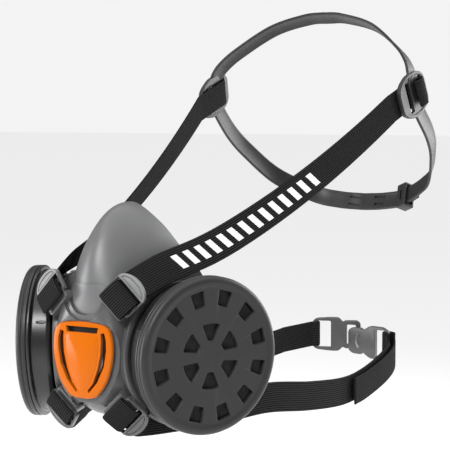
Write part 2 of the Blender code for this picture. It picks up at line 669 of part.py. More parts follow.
def split_route(path, reach):
    """Cut a route into the anchor's run and the swinging strap, leaving the swing gap out."""
    lengths = np.concatenate([[0], np.cumsum(np.linalg.norm(np.diff(path, axis=0), axis=1))])

    def at(distance):
        return np.array([np.interp(distance, lengths, path[:, axis]) for axis in range(3)])

    run = [at(0), at(reach / 2), at(reach)]
    gap_end = reach + SWING_GAP
    rest = [at(gap_end)] + [point for point, length in zip(path, lengths) if length > gap_end + 2]
    return run, rest, at(reach + SWING_GAP / 2)


def bar_direction(ladder, side):
    """Direction of a ladder's bar, pointing upwards."""
    bar = np.array(ladder_frame(ladder, side).to_3x3() @ Vector((1, 0, 0)))
    return bar if bar[2] > 0 else -bar


def anchor(ladder, route, side, level, name):
    """Strap loop round a ladder bar, and its run out under the D tab."""
    frame = ladder_frame(ladder, side)
    run = split_route(route, ANCHOR_REACH[level])[0][::-1]
    loop = [(4.5, -2.9)] + [(ANCHOR_R * math.cos(a), ANCHOR_R * math.sin(a))
                            for a in np.radians(np.linspace(-75, -355, 16))]
    path = run + [np.array(frame @ Vector((0, along, out))) for along, out in loop]
    widths = [bar_direction(ladder, side)] * len(path)
    add_object(f"{level}_anchor_{name}", ribbon(path, widths, ANCHOR_W, STRAP_T), WEBBING, 0.9)


def upper_strap(side, name):
    """Head strap, threaded through both slots of its pad."""
    pad = pad_frame(side)
    under = PAD_T / 2 + STRAP_T / 2 + 1.0
    local = [(-22, -under), (0, -under), (9, -under), (12.4, -under + 0.8), (13.1, 0), (12.4, under - 0.6),
             (10, under + 0.3), (4, under + 0.6), (-2.6, under + 0.2), (-5.2, under - 0.8), (-6.0, 0.2)]
    threaded = [np.array(pad @ Vector((along, 0, out))) for along, out in local]
    free = split_route(upper_route(side), ANCHOR_REACH[UPPER])[1][::3]
    up = np.array(pad.to_3x3() @ Vector((0, 1, 0)))
    up = up if up[2] > 0 else -up
    widths = blend_directions(bar_direction(UPPER_LADDER, side), up, len(free), 0.6) + [up] * len(threaded)
    path = free + threaded
    add_object(f"upper_strap_{name}", ribbon(path, widths, STRAP_W, STRAP_T), WEBBING, 0.9)


def clasp_frame(centre, turn):
    """Frame of a clasp half: X towards the wearer's right, Y up, Z away from the neck."""
    angle = math.radians(turn)
    return axes(centre, (-math.cos(angle), -math.sin(angle), 0), (0, 0, 1))


def lower_strap(side, name):
    """Neck strap from its swing line round to the clasp, wrapped round the clasp's bar."""
    if side > 0:
        frame = clasp_frame(HOOK_CENTRE, HOOK_TURN)
        bar, half = HOOK_BAR
    else:
        frame = clasp_frame(LOOP_CENTRE, LOOP_TURN)
        bar, half = LOOP_BAR
    radius = math.hypot(half, CLASP_T / 2) + STRAP_T / 2 + 0.25
    angles = np.radians(np.linspace(-110, 110, 9))
    wrap = [np.array(frame @ Vector((bar + side * radius * math.cos(a), 0, radius * math.sin(a))))
            for a in angles]
    route = split_route(lower_route(side), ANCHOR_REACH[LOWER])[1]
    path = route + wrap
    if side > 0:
        ends = NECK_END_LEFT[::-1]
        tail = [np.array(point) + np.array(step) for point, step in zip(ends, TAIL_STEPS)]
        path += list(smooth_path([wrap[-1] + np.array([3.0, -1.5, 0])] + tail, 3))
    up = np.array([0, 0, 1.0])
    lean = unit(bar_direction(LOWER_LADDER, side) + 3 * up)
    turn = blend_directions(lean, up, 4)
    widths = turn + [up] * (len(path) - len(turn))
    add_object(f"lower_strap_{name}", ribbon(path, widths, STRAP_W, STRAP_T), WEBBING, 0.9)


# ---------------------------------------------------------------- cradle

def head_cradle():
    """Crown band, two slotted pads and two rear tails that lie over each other."""
    half = smooth_path(CROWN_ROUTE, 4)
    left = [tuple(point) for point in half]
    right = [mirror_point(point, -1) for point in left[::-1][1:]]
    start = np.array([0.0, 0.97, -0.2])
    middle = np.array([0.0, 0.87, -0.5])
    directions = blend_directions(start, middle, len(left))
    widths = directions + directions[::-1][1:]
    base = add_object("head_cradle", ribbon(left + right, widths, BAND_W, BAND_T), GRAPHITE, 0.5)
    for side in (1, -1):
        plate = prism(PAD_OUTLINE, -PAD_T / 2, PAD_T / 2, pad_frame(side))
        combine(base, add_object("pad_add", plate, hidden=True), "UNION")
        combine(base, add_object("tail_add", tail(side), hidden=True), "UNION")
    cuts = []
    for side in (1, -1):
        for low, high in (PAD_FRONT_SLOT, PAD_REAR_SLOT):
            reach = PAD_SLOT_HALF_LENGTH
            outline = [(low, -reach), (high, -reach), (high, reach), (low, reach)]
            cuts.append(prism(outline, -4, 4, pad_frame(side)))
    combine(base, add_object("pad_slot_cut", merge(cuts), hidden=True), "DIFFERENCE")


def tail_path(side):
    """Middle line of a rear tail; the left tail steps inwards and the right one outwards to overlap."""
    half = smooth_path(TAIL_ROUTE, 4)
    full = np.vstack([half, half[::-1][1:] * np.array([-1, 1, 1])])
    if side > 0:
        path = full[full[:, 0] > TAIL_END_X[0]]
        ramp = np.clip((TAIL_END_X[1] + 14 - path[:, 0]) / 10, 0, 1)
    else:
        path = full[::-1]
        path = path[path[:, 0] < TAIL_END_X[1]]
        ramp = np.clip((path[:, 0] - TAIL_END_X[0] + 14) / 10, 0, 1)
    radial = path - np.array(HEAD_CENTRE)
    radial[:, 2] = 0
    radial /= np.linalg.norm(radial, axis=1)[:, None]
    return path - side * radial * (ramp * (BAND_T / 2 + 0.25))[:, None]


def tail(side):
    """One rear tail of the cradle as a ribbon."""
    path = tail_path(side)
    at_pad = np.array([0.0, 0.65, 0.75])
    widths = []
    for point in path:
        t = min(max((TAIL_ROUTE[-1][1] - point[1]) / 75, 0), 1)
        widths.append(unit((1 - t) * np.array(BACK_UP) + t * at_pad))
    return ribbon(path, widths, BAND_W, BAND_T)


def band_keeper():
    """Sleeve round both rear tails."""
    half = smooth_path(TAIL_ROUTE, 8)
    index = int(np.argmin(np.abs(half[:, 0] - KEEPER_X)))
    along = unit(half[index - 1] - half[index + 1])
    frame = axes(tuple(half[index]), along, BACK_UP)
    length = KEEPER_LENGTH / 2
    high = BAND_W / 2 + 0.9
    deep = BAND_T + 1.05
    outer = [(-length, -high - 1.7), (length, -high - 1.7), (length, high + 1.7), (-length, high + 1.7)]
    inner = [(-length - 3, -high), (length + 3, -high), (length + 3, high), (-length - 3, high)]
    keeper = add_object("band_keeper", prism(outer, -deep - 1.5, deep + 1.5, frame), GRAPHITE, 0.5)
    hollow = add_object("keeper_cut", prism(inner, -deep, deep, frame), hidden=True)
    combine(keeper, hollow, "DIFFERENCE")


# ---------------------------------------------------------------- clasp

def slot_prism(low, high, reach, frame):
    """Cutter of a straight slot across a clasp half."""
    return prism([(low, -reach), (high, -reach), (high, reach), (low, reach)], -5, 5, frame)


def clasp():
    """Loop half and hook half of the neck clasp."""
    frame = clasp_frame(LOOP_CENTRE, LOOP_TURN)
    plate = prism(LOOP_OUTLINE, -CLASP_T / 2, CLASP_T / 2, frame)
    loop = add_object("buckle_loop_half", plate, SOFT_GREY, 0.45)
    window, reach = LOOP_WINDOW
    cuts = [slot_prism(*LOOP_SLOT, CLASP_SLOT_REACH, frame), slot_prism(*window, reach, frame)]
    combine(loop, add_object("loop_slot_cut", merge(cuts), hidden=True), "DIFFERENCE")

    frame = clasp_frame(HOOK_CENTRE, HOOK_TURN)
    plate = prism(HOOK_OUTLINE, -CLASP_T / 2, CLASP_T / 2, frame)
    hook = add_object("buckle_hook_half", plate, SOFT_GREY, 0.45)
    along, across, height = HOOK_LIP
    lip = [(along[0], across[0]), (along[1], across[0]), (along[1], across[1]), (along[0], across[1])]
    combine(hook, add_object("lip_add", prism(lip, 0, height, frame), hidden=True), "UNION")
    cut = slot_prism(*HOOK_SLOT, CLASP_SLOT_REACH, frame)
    combine(hook, add_object("hook_slot_cut", cut, hidden=True), "DIFFERENCE")


def hang(nodes, name, point):
    """Parent nodes to an empty on their joint's axis."""
    empty = bpy.data.objects.new(name, None)
    empty.location = Vector(point) * MM
    bpy.context.scene.collection.objects.link(empty)
    bpy.context.view_layer.update()
    for node in nodes:
        child = bpy.data.objects[node]
        child.parent = empty
        child.matrix_parent_inverse = empty.matrix_world.inverted()
    return empty


def main():
    """Build every piece, then hang the moving ones on their joints."""
    for item in list(bpy.data.objects):
        bpy.data.objects.remove(item)
    facepiece()
    yoke()
    valve_cover()
    valves()
    filters()
    for side, name in ((1, "left"), (-1, "right")):
        anchor(UPPER_LADDER, upper_route(side), side, UPPER, name)
        anchor(LOWER_LADDER, lower_route(side), side, LOWER, name)
        upper_strap(side, name)
        lower_strap(side, name)
    head_cradle()
    band_keeper()
    clasp()
    hang(["valve_cover", "exhale_flap"], "exhale_axis", (EXHALE_CENTRE[0], -50, EXHALE_CENTRE[1]))
    for side, name in ((1, "left"), (-1, "right")):
        moving = ["filter_drum", "filter_media", "filter_cap", "inhale_flap"]
        hang([f"{node}_{name}" for node in moving], f"filter_axis_{name}", mirror_point(PORT_CENTRE, side))
    swing = split_route(upper_route(1), ANCHOR_REACH[UPPER])[2]
    hang(["upper_strap_left", "upper_strap_right", "head_cradle", "band_keeper"], "harness_swing",
         (0, swing[1], swing[2]))
    swing = split_route(lower_route(1), ANCHOR_REACH[LOWER])[2]
    hang(["lower_strap_left", "lower_strap_right", "buckle_loop_half"], "neck_swing", (0, swing[1], swing[2]))
    hang(["buckle_hook_half"], "clasp_hinge", clasp_frame(HOOK_CENTRE, HOOK_TURN) @ Vector((HOOK_BAR[0], 0, 0)))

main()
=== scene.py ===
"""Looks of a half-mask respirator for painting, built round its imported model.

Lengths are millimetres until a mesh is written, which stores metres. The wearer looks along -Y, +X is
the wearer's left and +Z is up. The origin is the centre of the face opening. A frame is a 4 x 4 matrix
whose columns are a local X, Y and Z axis and an origin.
"""

import logging
import math
from dataclasses import dataclass
from enum import Enum
from typing import Any, Optional, Sequence, Union

import bmesh
import bpy
import numpy as np
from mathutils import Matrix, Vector


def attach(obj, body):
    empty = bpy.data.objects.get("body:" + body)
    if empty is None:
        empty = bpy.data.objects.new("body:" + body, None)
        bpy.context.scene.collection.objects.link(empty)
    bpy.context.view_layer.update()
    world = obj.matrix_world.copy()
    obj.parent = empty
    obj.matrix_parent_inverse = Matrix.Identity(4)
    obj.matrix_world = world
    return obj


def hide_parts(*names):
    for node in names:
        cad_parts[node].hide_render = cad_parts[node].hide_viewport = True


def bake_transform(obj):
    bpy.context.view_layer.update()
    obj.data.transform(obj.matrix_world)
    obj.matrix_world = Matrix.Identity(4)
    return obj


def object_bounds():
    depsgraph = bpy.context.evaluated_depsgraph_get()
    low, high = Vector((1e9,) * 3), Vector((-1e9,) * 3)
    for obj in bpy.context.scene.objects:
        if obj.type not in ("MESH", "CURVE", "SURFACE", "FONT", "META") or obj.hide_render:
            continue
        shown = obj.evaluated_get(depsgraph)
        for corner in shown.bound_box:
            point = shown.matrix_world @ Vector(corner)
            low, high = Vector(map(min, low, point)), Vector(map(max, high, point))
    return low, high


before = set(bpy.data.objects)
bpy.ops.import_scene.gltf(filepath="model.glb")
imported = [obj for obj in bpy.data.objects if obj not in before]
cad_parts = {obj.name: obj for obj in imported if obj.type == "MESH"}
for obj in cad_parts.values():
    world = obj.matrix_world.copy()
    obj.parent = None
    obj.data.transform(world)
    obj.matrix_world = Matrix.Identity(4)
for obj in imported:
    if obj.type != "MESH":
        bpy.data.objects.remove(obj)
CAD_BOX = [list(corner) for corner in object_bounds()]
log = logging.getLogger("respirator")

MM = 0.001
TURN_STEPS = 128        # facets round a turned piece
Outline = Sequence[Sequence[float]]
Value = Union["Wire", float, tuple]

# Driving sizes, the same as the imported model's.
SEAL_EDGE = [(0, -6, 66.3), (16, -2, 56), (30, 2, 39.5), (43, 10, 17), (46, 13, -16), (38, 8, -40),
             (22, 0, -54), (0, -6, -59)]
SEAL_HANDLE = [(0, -32, 69), (15, -24, 60), (25, -16, 42), (34, -8, 14), (36, -6, -17), (31, -8, -40),
               (19, -14, -56), (0, -20, -61)]
FRONT_HANDLE = [(0, -54, 42), (13, -50, 33), (21, -43, 20), (25, -35, 4), (24, -34, -20), (23, -36, -40),
                (13, -41, -54), (0, -44, -59)]
FRONT_EDGE = [(0, -52, 3), (9, -51.8, 2), (15, -51.4, -3), (19, -51, -10), (19, -51, -24), (15, -51, -36),
              (9, -51, -43), (0, -51, -46)]
PORT_CENTRE = (42.7, -10.0, -19.35)
PORT_YAW = 65.4
PORT_TILT = -1.5
EXHALE_CENTRE = (0.0, -22.0)
UPPER_BAR = ((25.6, -51.1, 15.6), (0.703, 0.088, -0.706), (0.65, 0.30, 0.70))
LOWER_BAR = ((22.9, -44.9, -54.3), (0.739, -0.067, 0.672), (0.63, 0.42, -0.66))
STRAP_W = 19.0
STRAP_T = 1.5
PAD_CENTRE = (80.0, 216.0, 131.0)
PAD_ALONG = (0.02, 0.943, 0.332)
PAD_UP = (-0.11, -0.33, 0.94)
BACK_UP = (0.0, 0.4, 0.91)
LOOP_PLACE = ((-18.3, 294.5, -50.5), 17.7)
HOOK_PLACE = ((13.0, 290.4, -54.0), -12.0)

# Slanted bars woven into the outer face of both head straps.
HATCH_PITCH = 10.0
HATCH_BAR = 5.0
HATCH_REACH = 4.8            # to each side of the strap's middle
HATCH_RUN = (69.9, 206.0)    # where along the strap the row starts and ends


class Side(Enum):
    """Side of the wearer that a piece is on; the value is the sign of its X."""

    LEFT = 1
    RIGHT = -1

    @property
    def label(self) -> str:
        """Word that ends the names of this side's pieces."""
        return self.name.lower()


class Operation(Enum):
    """What a Boolean does with its tool."""

    ADD = "UNION"
    CUT = "DIFFERENCE"
    KEEP = "INTERSECT"


# ---------------------------------------------------------------- shapes


@dataclass
class Shape:
    """Points in millimetres, the faces between them, and an optional weave place for each point."""

    points: np.ndarray
    faces: list
    weave: Optional[np.ndarray] = None

    def placed(self, place: np.ndarray) -> "Shape":
        """Return the shape carried from a frame's own coordinates to the object's."""
        return Shape(self.points @ place[:3, :3].T + place[:3, 3], self.faces, self.weave)

    def joined(self, *others: "Shape") -> "Shape":
        """Return this shape and others as one list of points and faces."""
        points, faces = [self.points], list(self.faces)
        count = len(self.points)
        for other in others:
            points.append(other.points)
            faces += [[index + count for index in face] for face in other.faces]
            count += len(other.points)
        return Shape(np.concatenate(points), faces)


def unit(vector: Sequence[float]) -> np.ndarray:
    """Return a vector at length one; an array of vectors is treated row by row."""
    vector = np.asarray(vector, float)
    return vector / np.linalg.norm(vector, axis=-1, keepdims=True)


def mirrored(half: Outline) -> np.ndarray:
    """Close a half outline, whose ends lie on X = 0, with its mirror image."""
    half = np.asarray(half, float)
    back = half[-2:0:-1].copy()
    back[:, 0] *= -1
    return np.concatenate([half, back])


def to_side(point: Sequence[float], side: Side) -> np.ndarray:
    """Take a point or direction of the wearer's left to a side."""
    return np.array([point[0] * side.value, point[1], point[2]], float)


def axes(origin: Sequence[float], across: Sequence[float], along: Sequence[float]) -> np.ndarray:
    """Return the frame whose X is across, whose Y leans along, and whose Z completes it."""
    across = unit(across)
    along = unit(np.asarray(along, float) - across * float(np.dot(across, along)))
    place = np.eye(4)
    place[:3, 0] = across
    place[:3, 1] = along
    place[:3, 2] = np.cross(across, along)
    place[:3, 3] = origin
    return place


def smooth_path(points: Outline, per_span: int, closed: bool = False) -> np.ndarray:
    """Catmull-Rom curve through control points along the first axis.

    Between p1 and p2 the point at t is half of 2 p1 + (p2 - p0) t + (2 p0 - 5 p1 + 4 p2 - p3) t^2
    + (3 p1 - p0 - 3 p2 + p3) t^3.

    Args:
        points: Control points; each may itself be an array.
        per_span: Points made for each span.
        closed: Whether the last point runs on to the first.

    Returns:
        The curve's points.
    """
    points = np.asarray(points, float)
    if closed:
        padded = np.concatenate([points[-1:], points, points[:2]])
        spans = len(points)
    else:
        padded = np.concatenate([2 * points[:1] - points[1:2], points, 2 * points[-1:] - points[-2:-1]])
        spans = len(points) - 1
    t = np.tile(np.arange(per_span) / per_span, spans)
    start = np.repeat(np.arange(spans), per_span)
    t = t.reshape((-1,) + (1,) * (points.ndim - 1))
    p0, p1, p2, p3 = (padded[start + shift] for shift in range(4))
    curve = 0.5 * (2 * p1 + (p2 - p0) * t + (2 * p0 - 5 * p1 + 4 * p2 - p3) * t ** 2
                   + (3 * p1 - p0 - 3 * p2 + p3) * t ** 3)
    return curve if closed else np.concatenate([curve, points[-1:]])


def rounded(outline: Outline, radius: Union[float, Sequence[float]], steps: int = 6) -> np.ndarray:
    """Round a closed outline's corners with quadratic arcs.

    Args:
        outline: The corners, in order.
        radius: How far along each side the arc starts, for all corners or one by one.
        steps: Points for each corner.

    Returns:
        The rounded outline; a corner with radius 0 stays sharp.
    """
    corner = np.asarray(outline, float)
    before, after = np.roll(corner, 1, axis=0) - corner, np.roll(corner, -1, axis=0) - corner
    limit = np.minimum(np.linalg.norm(before, axis=1), np.linalg.norm(after, axis=1)) * 0.49
    reach = np.minimum(np.broadcast_to(radius, len(corner)), limit)[:, None]
    start, end = (corner + unit(before) * reach)[:, None], (corner + unit(after) * reach)[:, None]
    t = np.linspace(0, 1, steps)[None, :, None]
    arcs = (1 - t) ** 2 * start + 2 * t * (1 - t) * corner[:, None] + t ** 2 * end
    return arcs.reshape(-1, 2)


def inset(outline: np.ndarray, distance: float) -> np.ndarray:
    """Move a closed outline inwards along the mean normal of the sides beside each point."""
    area = np.sum(outline[:, 0] * np.roll(outline[:, 1], -1) - np.roll(outline[:, 0], -1) * outline[:, 1])
    sides = np.roll(outline, -1, axis=0) - outline
    lengths = np.linalg.norm(sides, axis=1, keepdims=True)
    normals = np.stack([-sides[:, 1], sides[:, 0]], axis=1) / np.maximum(lengths, 1e-9) * np.sign(area)
    total = normals + np.roll(normals, 1, axis=0)
    total /= np.maximum(np.linalg.norm(total, axis=1, keepdims=True), 1e-6)
    return outline + total * distance


def grid_faces(rows: int, columns: int, wrap_rows: bool = False, wrap_columns: bool = True) -> list:
    """Faces of a grid of points stored row by row; a wrapped direction joins its last line to its first."""
    row, column = np.meshgrid(np.arange(rows if wrap_rows else rows - 1),
                              np.arange(columns if wrap_columns else columns - 1), indexing="ij")
    next_row, next_column = (row + 1) % rows * columns, (column + 1) % columns
    row = row * columns
    corners = [row + column, row + next_column, next_row + next_column, next_row + column]
    return np.stack(corners, axis=-1).reshape(-1, 4).tolist()


def ringed(grid: np.ndarray) -> Shape:
    """Close a stack of rings with a flat face at each end."""
    rings, count = grid.shape[:2]
    ends = [list(range(count))[::-1], list(range((rings - 1) * count, rings * count))]
    return Shape(grid.reshape(-1, 3), grid_faces(rings, count) + ends)


def loft(outline: np.ndarray, stations: Sequence[tuple]) -> Shape:
    """Stack copies of an outline, each at an (inset, height) station."""
    rings = [np.column_stack([inset(outline, step), np.full(len(outline), height)])
             for step, height in stations]
    return ringed(np.array(rings))


def plate(outline: Outline, low: float, high: float, corner: float = 1.0, edge: float = 0.4) -> Shape:
    """Flat plate between two heights with rounded corners and rounded edges.

    The edge is a quarter circle: at angle a it stands edge (1 - sin a) in and edge (1 - cos a) up.
    """
    bend = np.radians(np.linspace(0, 90, 4))
    inwards, upwards = edge * (1 - np.sin(bend)), edge * (1 - np.cos(bend))
    stations = list(zip(inwards, low + upwards)) + list(zip(inwards[::-1], high - upwards[::-1]))
    return loft(rounded(outline, corner) if corner else np.asarray(outline, float), stations)


def turned(profile: Outline, radius: Union[float, Sequence[float]] = 0.3, steps: int = TURN_STEPS) -> Shape:
    """Turn a closed (radius, height) profile with rounded corners about the local Z axis."""
    profile = np.asarray(profile, float)
    limits = np.where(profile[:, 0] < 1e-6, 0.0, np.broadcast_to(radius, len(profile)))
    profile = rounded(profile, limits, 4)
    angles = np.linspace(0, math.tau, steps, endpoint=False)[:, None]
    points = np.stack([profile[:, 0] * np.sin(angles), profile[:, 0] * np.cos(angles),
                       np.broadcast_to(profile[:, 1], (steps, len(profile)))], axis=-1)
    return Shape(points.reshape(-1, 3), grid_faces(steps, len(profile), wrap_rows=True))


def sweep(path: np.ndarray, widths: np.ndarray, section: np.ndarray) -> Shape:
    """Carry a closed (across, out) section along a path.

    The ring at a path point p is p + across w + out n, where w is the width direction made square
    to the path and n = path x w. The weave place of a point is (along, across, out).

    Args:
        path: Middle line, one point for each ring.
        widths: Width direction at each point.
        section: Closed outline of the section.

    Returns:
        A closed tube with flat ends.
    """
    tangent = unit(np.gradient(path, axis=0))
    widths = unit(widths - tangent * np.sum(widths * tangent, axis=1, keepdims=True))
    normal = np.cross(tangent, widths)
    grid = (path[:, None] + widths[:, None] * section[None, :, :1] + normal[:, None] * section[None, :, 1:])
    lengths = np.concatenate([[0], np.cumsum(np.linalg.norm(np.diff(path, axis=0), axis=1))])
    weave = np.empty(grid.shape)
    weave[..., 0] = lengths[:, None]
    weave[..., 1:] = section[None]
    shape = ringed(grid)
    shape.weave = weave.reshape(-1, 3)
    return shape


def turned_directions(start: Sequence[float], end: Sequence[float], count: int,
                      power: float = 1.0) -> np.ndarray:
    """Directions that turn from start to end over count points; the share is t to a power."""
    t = (np.linspace(0, 1, count) ** power)[:, None]
    return unit((1 - t) * unit(start) + t * unit(end))


# ---------------------------------------------------------------- objects


def write(name: str, shape: Shape, angle: float = 35.0) -> bpy.types.Object:
    """Put a shape into a mesh object at the origin.

    Args:
        name: Name of the piece.
        shape: Closed shape in millimetres.
        angle: Edges that turn by more degrees than this stay sharp.

    Returns:
        The object, smooth-shaded, with outward faces.
    """
    mesh = bpy.data.meshes.new(name)
    mesh.from_pydata((shape.points * MM).tolist(), [], shape.faces)
    if shape.weave is not None:
        layer = mesh.attributes.new("weave", "FLOAT_VECTOR", "POINT")
        layer.data.foreach_set("vector", shape.weave.astype(np.float32).ravel())
    work = bmesh.new()
    work.from_mesh(mesh)
    bmesh.ops.remove_doubles(work, verts=work.verts, dist=1e-6)
    bmesh.ops.recalc_face_normals(work, faces=work.faces)
    work.to_mesh(mesh)
    work.free()
    soften(mesh, angle)
    piece = bpy.data.objects.new(name, mesh)
    bpy.context.scene.collection.objects.link(piece)
    return piece


def soften(mesh: bpy.types.Mesh, angle: float) -> None:
    """Shade a mesh smooth, except over edges sharper than an angle in degrees."""
    mesh.shade_smooth()
    mesh.set_sharp_from_angle(angle=math.radians(angle))


def combine(piece: bpy.types.Object, tool: Shape, operation: Operation, angle: float = 35.0) -> None:
    """Apply a Boolean with a shape to a piece's mesh.

    Args:
        piece: Object whose mesh changes.
        tool: Closed shape in millimetres.
        operation: What the Boolean does.
        angle: Sharpness limit for the new mesh's shading.
    """
    helper = write("tool", tool)
    modifier = piece.modifiers.new("combine", "BOOLEAN")
    modifier.operation = operation.value
    modifier.object = helper
    before = piece.data
    bpy.context.view_layer.update()
    mesh = bpy.data.meshes.new_from_object(piece.evaluated_get(bpy.context.evaluated_depsgraph_get()))
    piece.modifiers.clear()
    if len(mesh.polygons) == 0:
        raise RuntimeError(f"{piece.name}: nothing was left after {operation.name}")
    piece.data = mesh
    mesh.name = piece.name
    bpy.data.meshes.remove(before)
    bpy.data.objects.remove(helper)
    soften(mesh, angle)


def settle(piece: bpy.types.Object, body: str, material: bpy.types.Material,
           replaced: Sequence[str] = ()) -> bpy.types.Object:
    """Dress a finished piece, hang it on its body and hide the plain nodes that it stands for."""
    piece.data.materials.clear()
    piece.data.materials.append(material)
    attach(piece, body)
    if replaced:
        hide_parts(*replaced)
    log.info("%s on %s, %d faces", piece.name, body, len(piece.data.polygons))
    return piece


def dress_node(node: str, material: bpy.types.Material) -> None:
    """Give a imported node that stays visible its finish."""
    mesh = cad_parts[node].data
    mesh.materials.clear()
    mesh.materials.append(material)
    log.info("%s keeps its packed shape", node)


# ---------------------------------------------------------------- finishes


class Wire:
    """A shader value that takes arithmetic; each operation adds a Math node."""

    def __init__(self, paint: "Paint", socket: Any) -> None:
        """Wrap an output socket of a material."""
        self.paint = paint
        self.socket = socket

    def _math(self, operation: str, *values: Value) -> "Wire":
        """Return the result of a Math node on the values."""
        return self.paint.node("ShaderNodeMath", {"operation": operation}, dict(enumerate(values)))

    def __add__(self, other: Value) -> "Wire":
        """Sum."""
        return self._math("ADD", self, other)

    __radd__ = __add__

    def __sub__(self, other: Value) -> "Wire":
        """Difference."""
        return self._math("SUBTRACT", self, other)

    def __rsub__(self, other: Value) -> "Wire":
        """Difference with the wire second."""
        return self._math("SUBTRACT", other, self)

    def __mul__(self, other: Value) -> "Wire":
        """Product."""
        return self._math("MULTIPLY", self, other)

    __rmul__ = __mul__

    def __truediv__(self, other: Value) -> "Wire":
        """Quotient."""
        return self._math("DIVIDE", self, other)

    def __lt__(self, other: Value) -> "Wire":
        """1 where the wire is less, else 0."""
        return self._math("LESS_THAN", self, other)

    def __gt__(self, other: Value) -> "Wire":
        """1 where the wire is greater, else 0."""
        return self._math("GREATER_THAN", self, other)

    def __abs__(self) -> "Wire":
        """Size without sign."""
        return self._math("ABSOLUTE", self)

    def wave(self) -> "Wire":
        """Sine."""
        return self._math("SINE", self)

    def repeated(self, period: float) -> "Wire":
        """Remainder from 0 to the period."""
        return self._math("FLOORED_MODULO", self, period)

    def limited(self) -> "Wire":
        """Value held between 0 and 1."""
        return self.paint.node("ShaderNodeClamp", {}, {"Value": self})


class Paint:
    """A Principled material while it is put together."""

    def __init__(self, name: str) -> None:
        """Start an empty Principled material."""
        self.material = bpy.data.materials.new(name)
        self.material.use_nodes = True
        self.tree = self.material.node_tree
        self.shader = self.tree.nodes["Principled BSDF"]

    def node(self, kind: str, settings: dict, inputs: dict, output: Union[int, str] = 0) -> Wire:
        """Add a node.

        Args:
            kind: Blender's name of the node type.
            settings: Attributes that are set first.
            inputs: Socket name or number to a value or wire.
            output: Name or number of the output that is returned.

        Returns:
            The output as a wire.
        """
        made = self.tree.nodes.new(kind)
        for name, value in settings.items():
            setattr(made, name, value)
        for name, value in inputs.items():
            self.join(made.inputs[name], value)
        return Wire(self, made.outputs[output])

    def join(self, socket: Any, value: Value) -> None:
        """Link a wire to a socket, or set a plain value on it."""
        if isinstance(value, Wire):
            self.tree.links.new(value.socket, socket)
        elif isinstance(value, tuple) and len(value) == 3 and socket.type == "RGBA":
            socket.default_value = (*value, 1.0)
        else:
            socket.default_value = value

    def put(self, **sockets: Value) -> None:
        """Set shader sockets; an underscore in a name stands for a space."""
        for name, value in sockets.items():
            self.join(self.shader.inputs[name.replace("_", " ")], value)

    def place(self) -> Wire:
        """Object coordinates."""
        return self.node("ShaderNodeTexCoord", {}, {}, "Object")

    def noise(self, place: Wire, size: float, detail: float = 3.0) -> Wire:
        """Cloudy value from 0 to 1 whose features measure about a size in millimetres."""
        inputs = {"Vector": place, "Scale": 1 / (size * MM), "Detail": detail}
        return self.node("ShaderNodeTexNoise", {}, inputs, 0)

    def mix(self, share: Value, first: Value, second: Value) -> Wire:
        """Mix two colours; the share is the second colour's."""
        made = self.tree.nodes.new("ShaderNodeMix")
        made.data_type = "RGBA"
        self.join(made.inputs[0], share)
        self.join(made.inputs[6], first)
        self.join(made.inputs[7], second)
        return Wire(self, made.outputs[2])

    def relief(self, height: Wire, depth: float, normal: Optional[Wire] = None) -> Wire:
        """Normal of a surface raised by height times a depth in millimetres."""
        inputs = {"Height": height, "Distance": depth * MM, "Strength": 1.0}
        if normal is not None:
            inputs["Normal"] = normal
        return self.node("ShaderNodeBump", {}, inputs)


@dataclass(frozen=True)
class Moulding:
    """Moulded plastic or rubber with a spark-eroded grain, soft edges and lightly worn corners."""

    name: str
    colour: tuple
    roughness: float
    grain: float = 0.35
    grain_depth: float = 0.02
    edge: float = 0.5
    wear: float = 0.25
    clouding: float = 0.08
    gloss: float = 0.5

    def material(self) -> bpy.types.Material:
        """Build the finish: the edge's wear is one less the cosine between the rounded and true normals."""
        paint = Paint(self.name)
        place = paint.place()
        cloud = paint.noise(place, 22.0, 2.0)
        speck = paint.noise(place, 1.4, 4.0)
        soft = None
        dark = tuple(channel * (1 - self.clouding) for channel in self.colour)
        light = tuple(min(channel * (1 + self.clouding) + 0.002, 1) for channel in self.colour)
        colour = paint.mix(cloud, dark, light)
        if self.edge:
            soft = paint.node("ShaderNodeBevel", {"samples": 8}, {"Radius": self.edge * MM})
            true = paint.node("ShaderNodeNewGeometry", {}, {}, "Normal")
            cosine = paint.node("ShaderNodeVectorMath", {"operation": "DOT_PRODUCT"}, {0: soft, 1: true},
                                "Value")
            worn = ((1 - cosine) * 6 * self.wear * (speck + 0.5)).limited()
            colour = paint.mix(worn, colour, tuple(min(channel * 1.6 + 0.05, 1) for channel in self.colour))
        paint.put(Base_Color=colour)
        paint.put(Roughness=self.roughness + (cloud - 0.5) * 0.06 + (speck - 0.5) * 0.02)
        if self.grain_depth:
            paint.put(Normal=paint.relief(paint.noise(place, self.grain, 2.0), self.grain_depth, soft))
        paint.put(Specular_IOR_Level=self.gloss)
        return paint.material


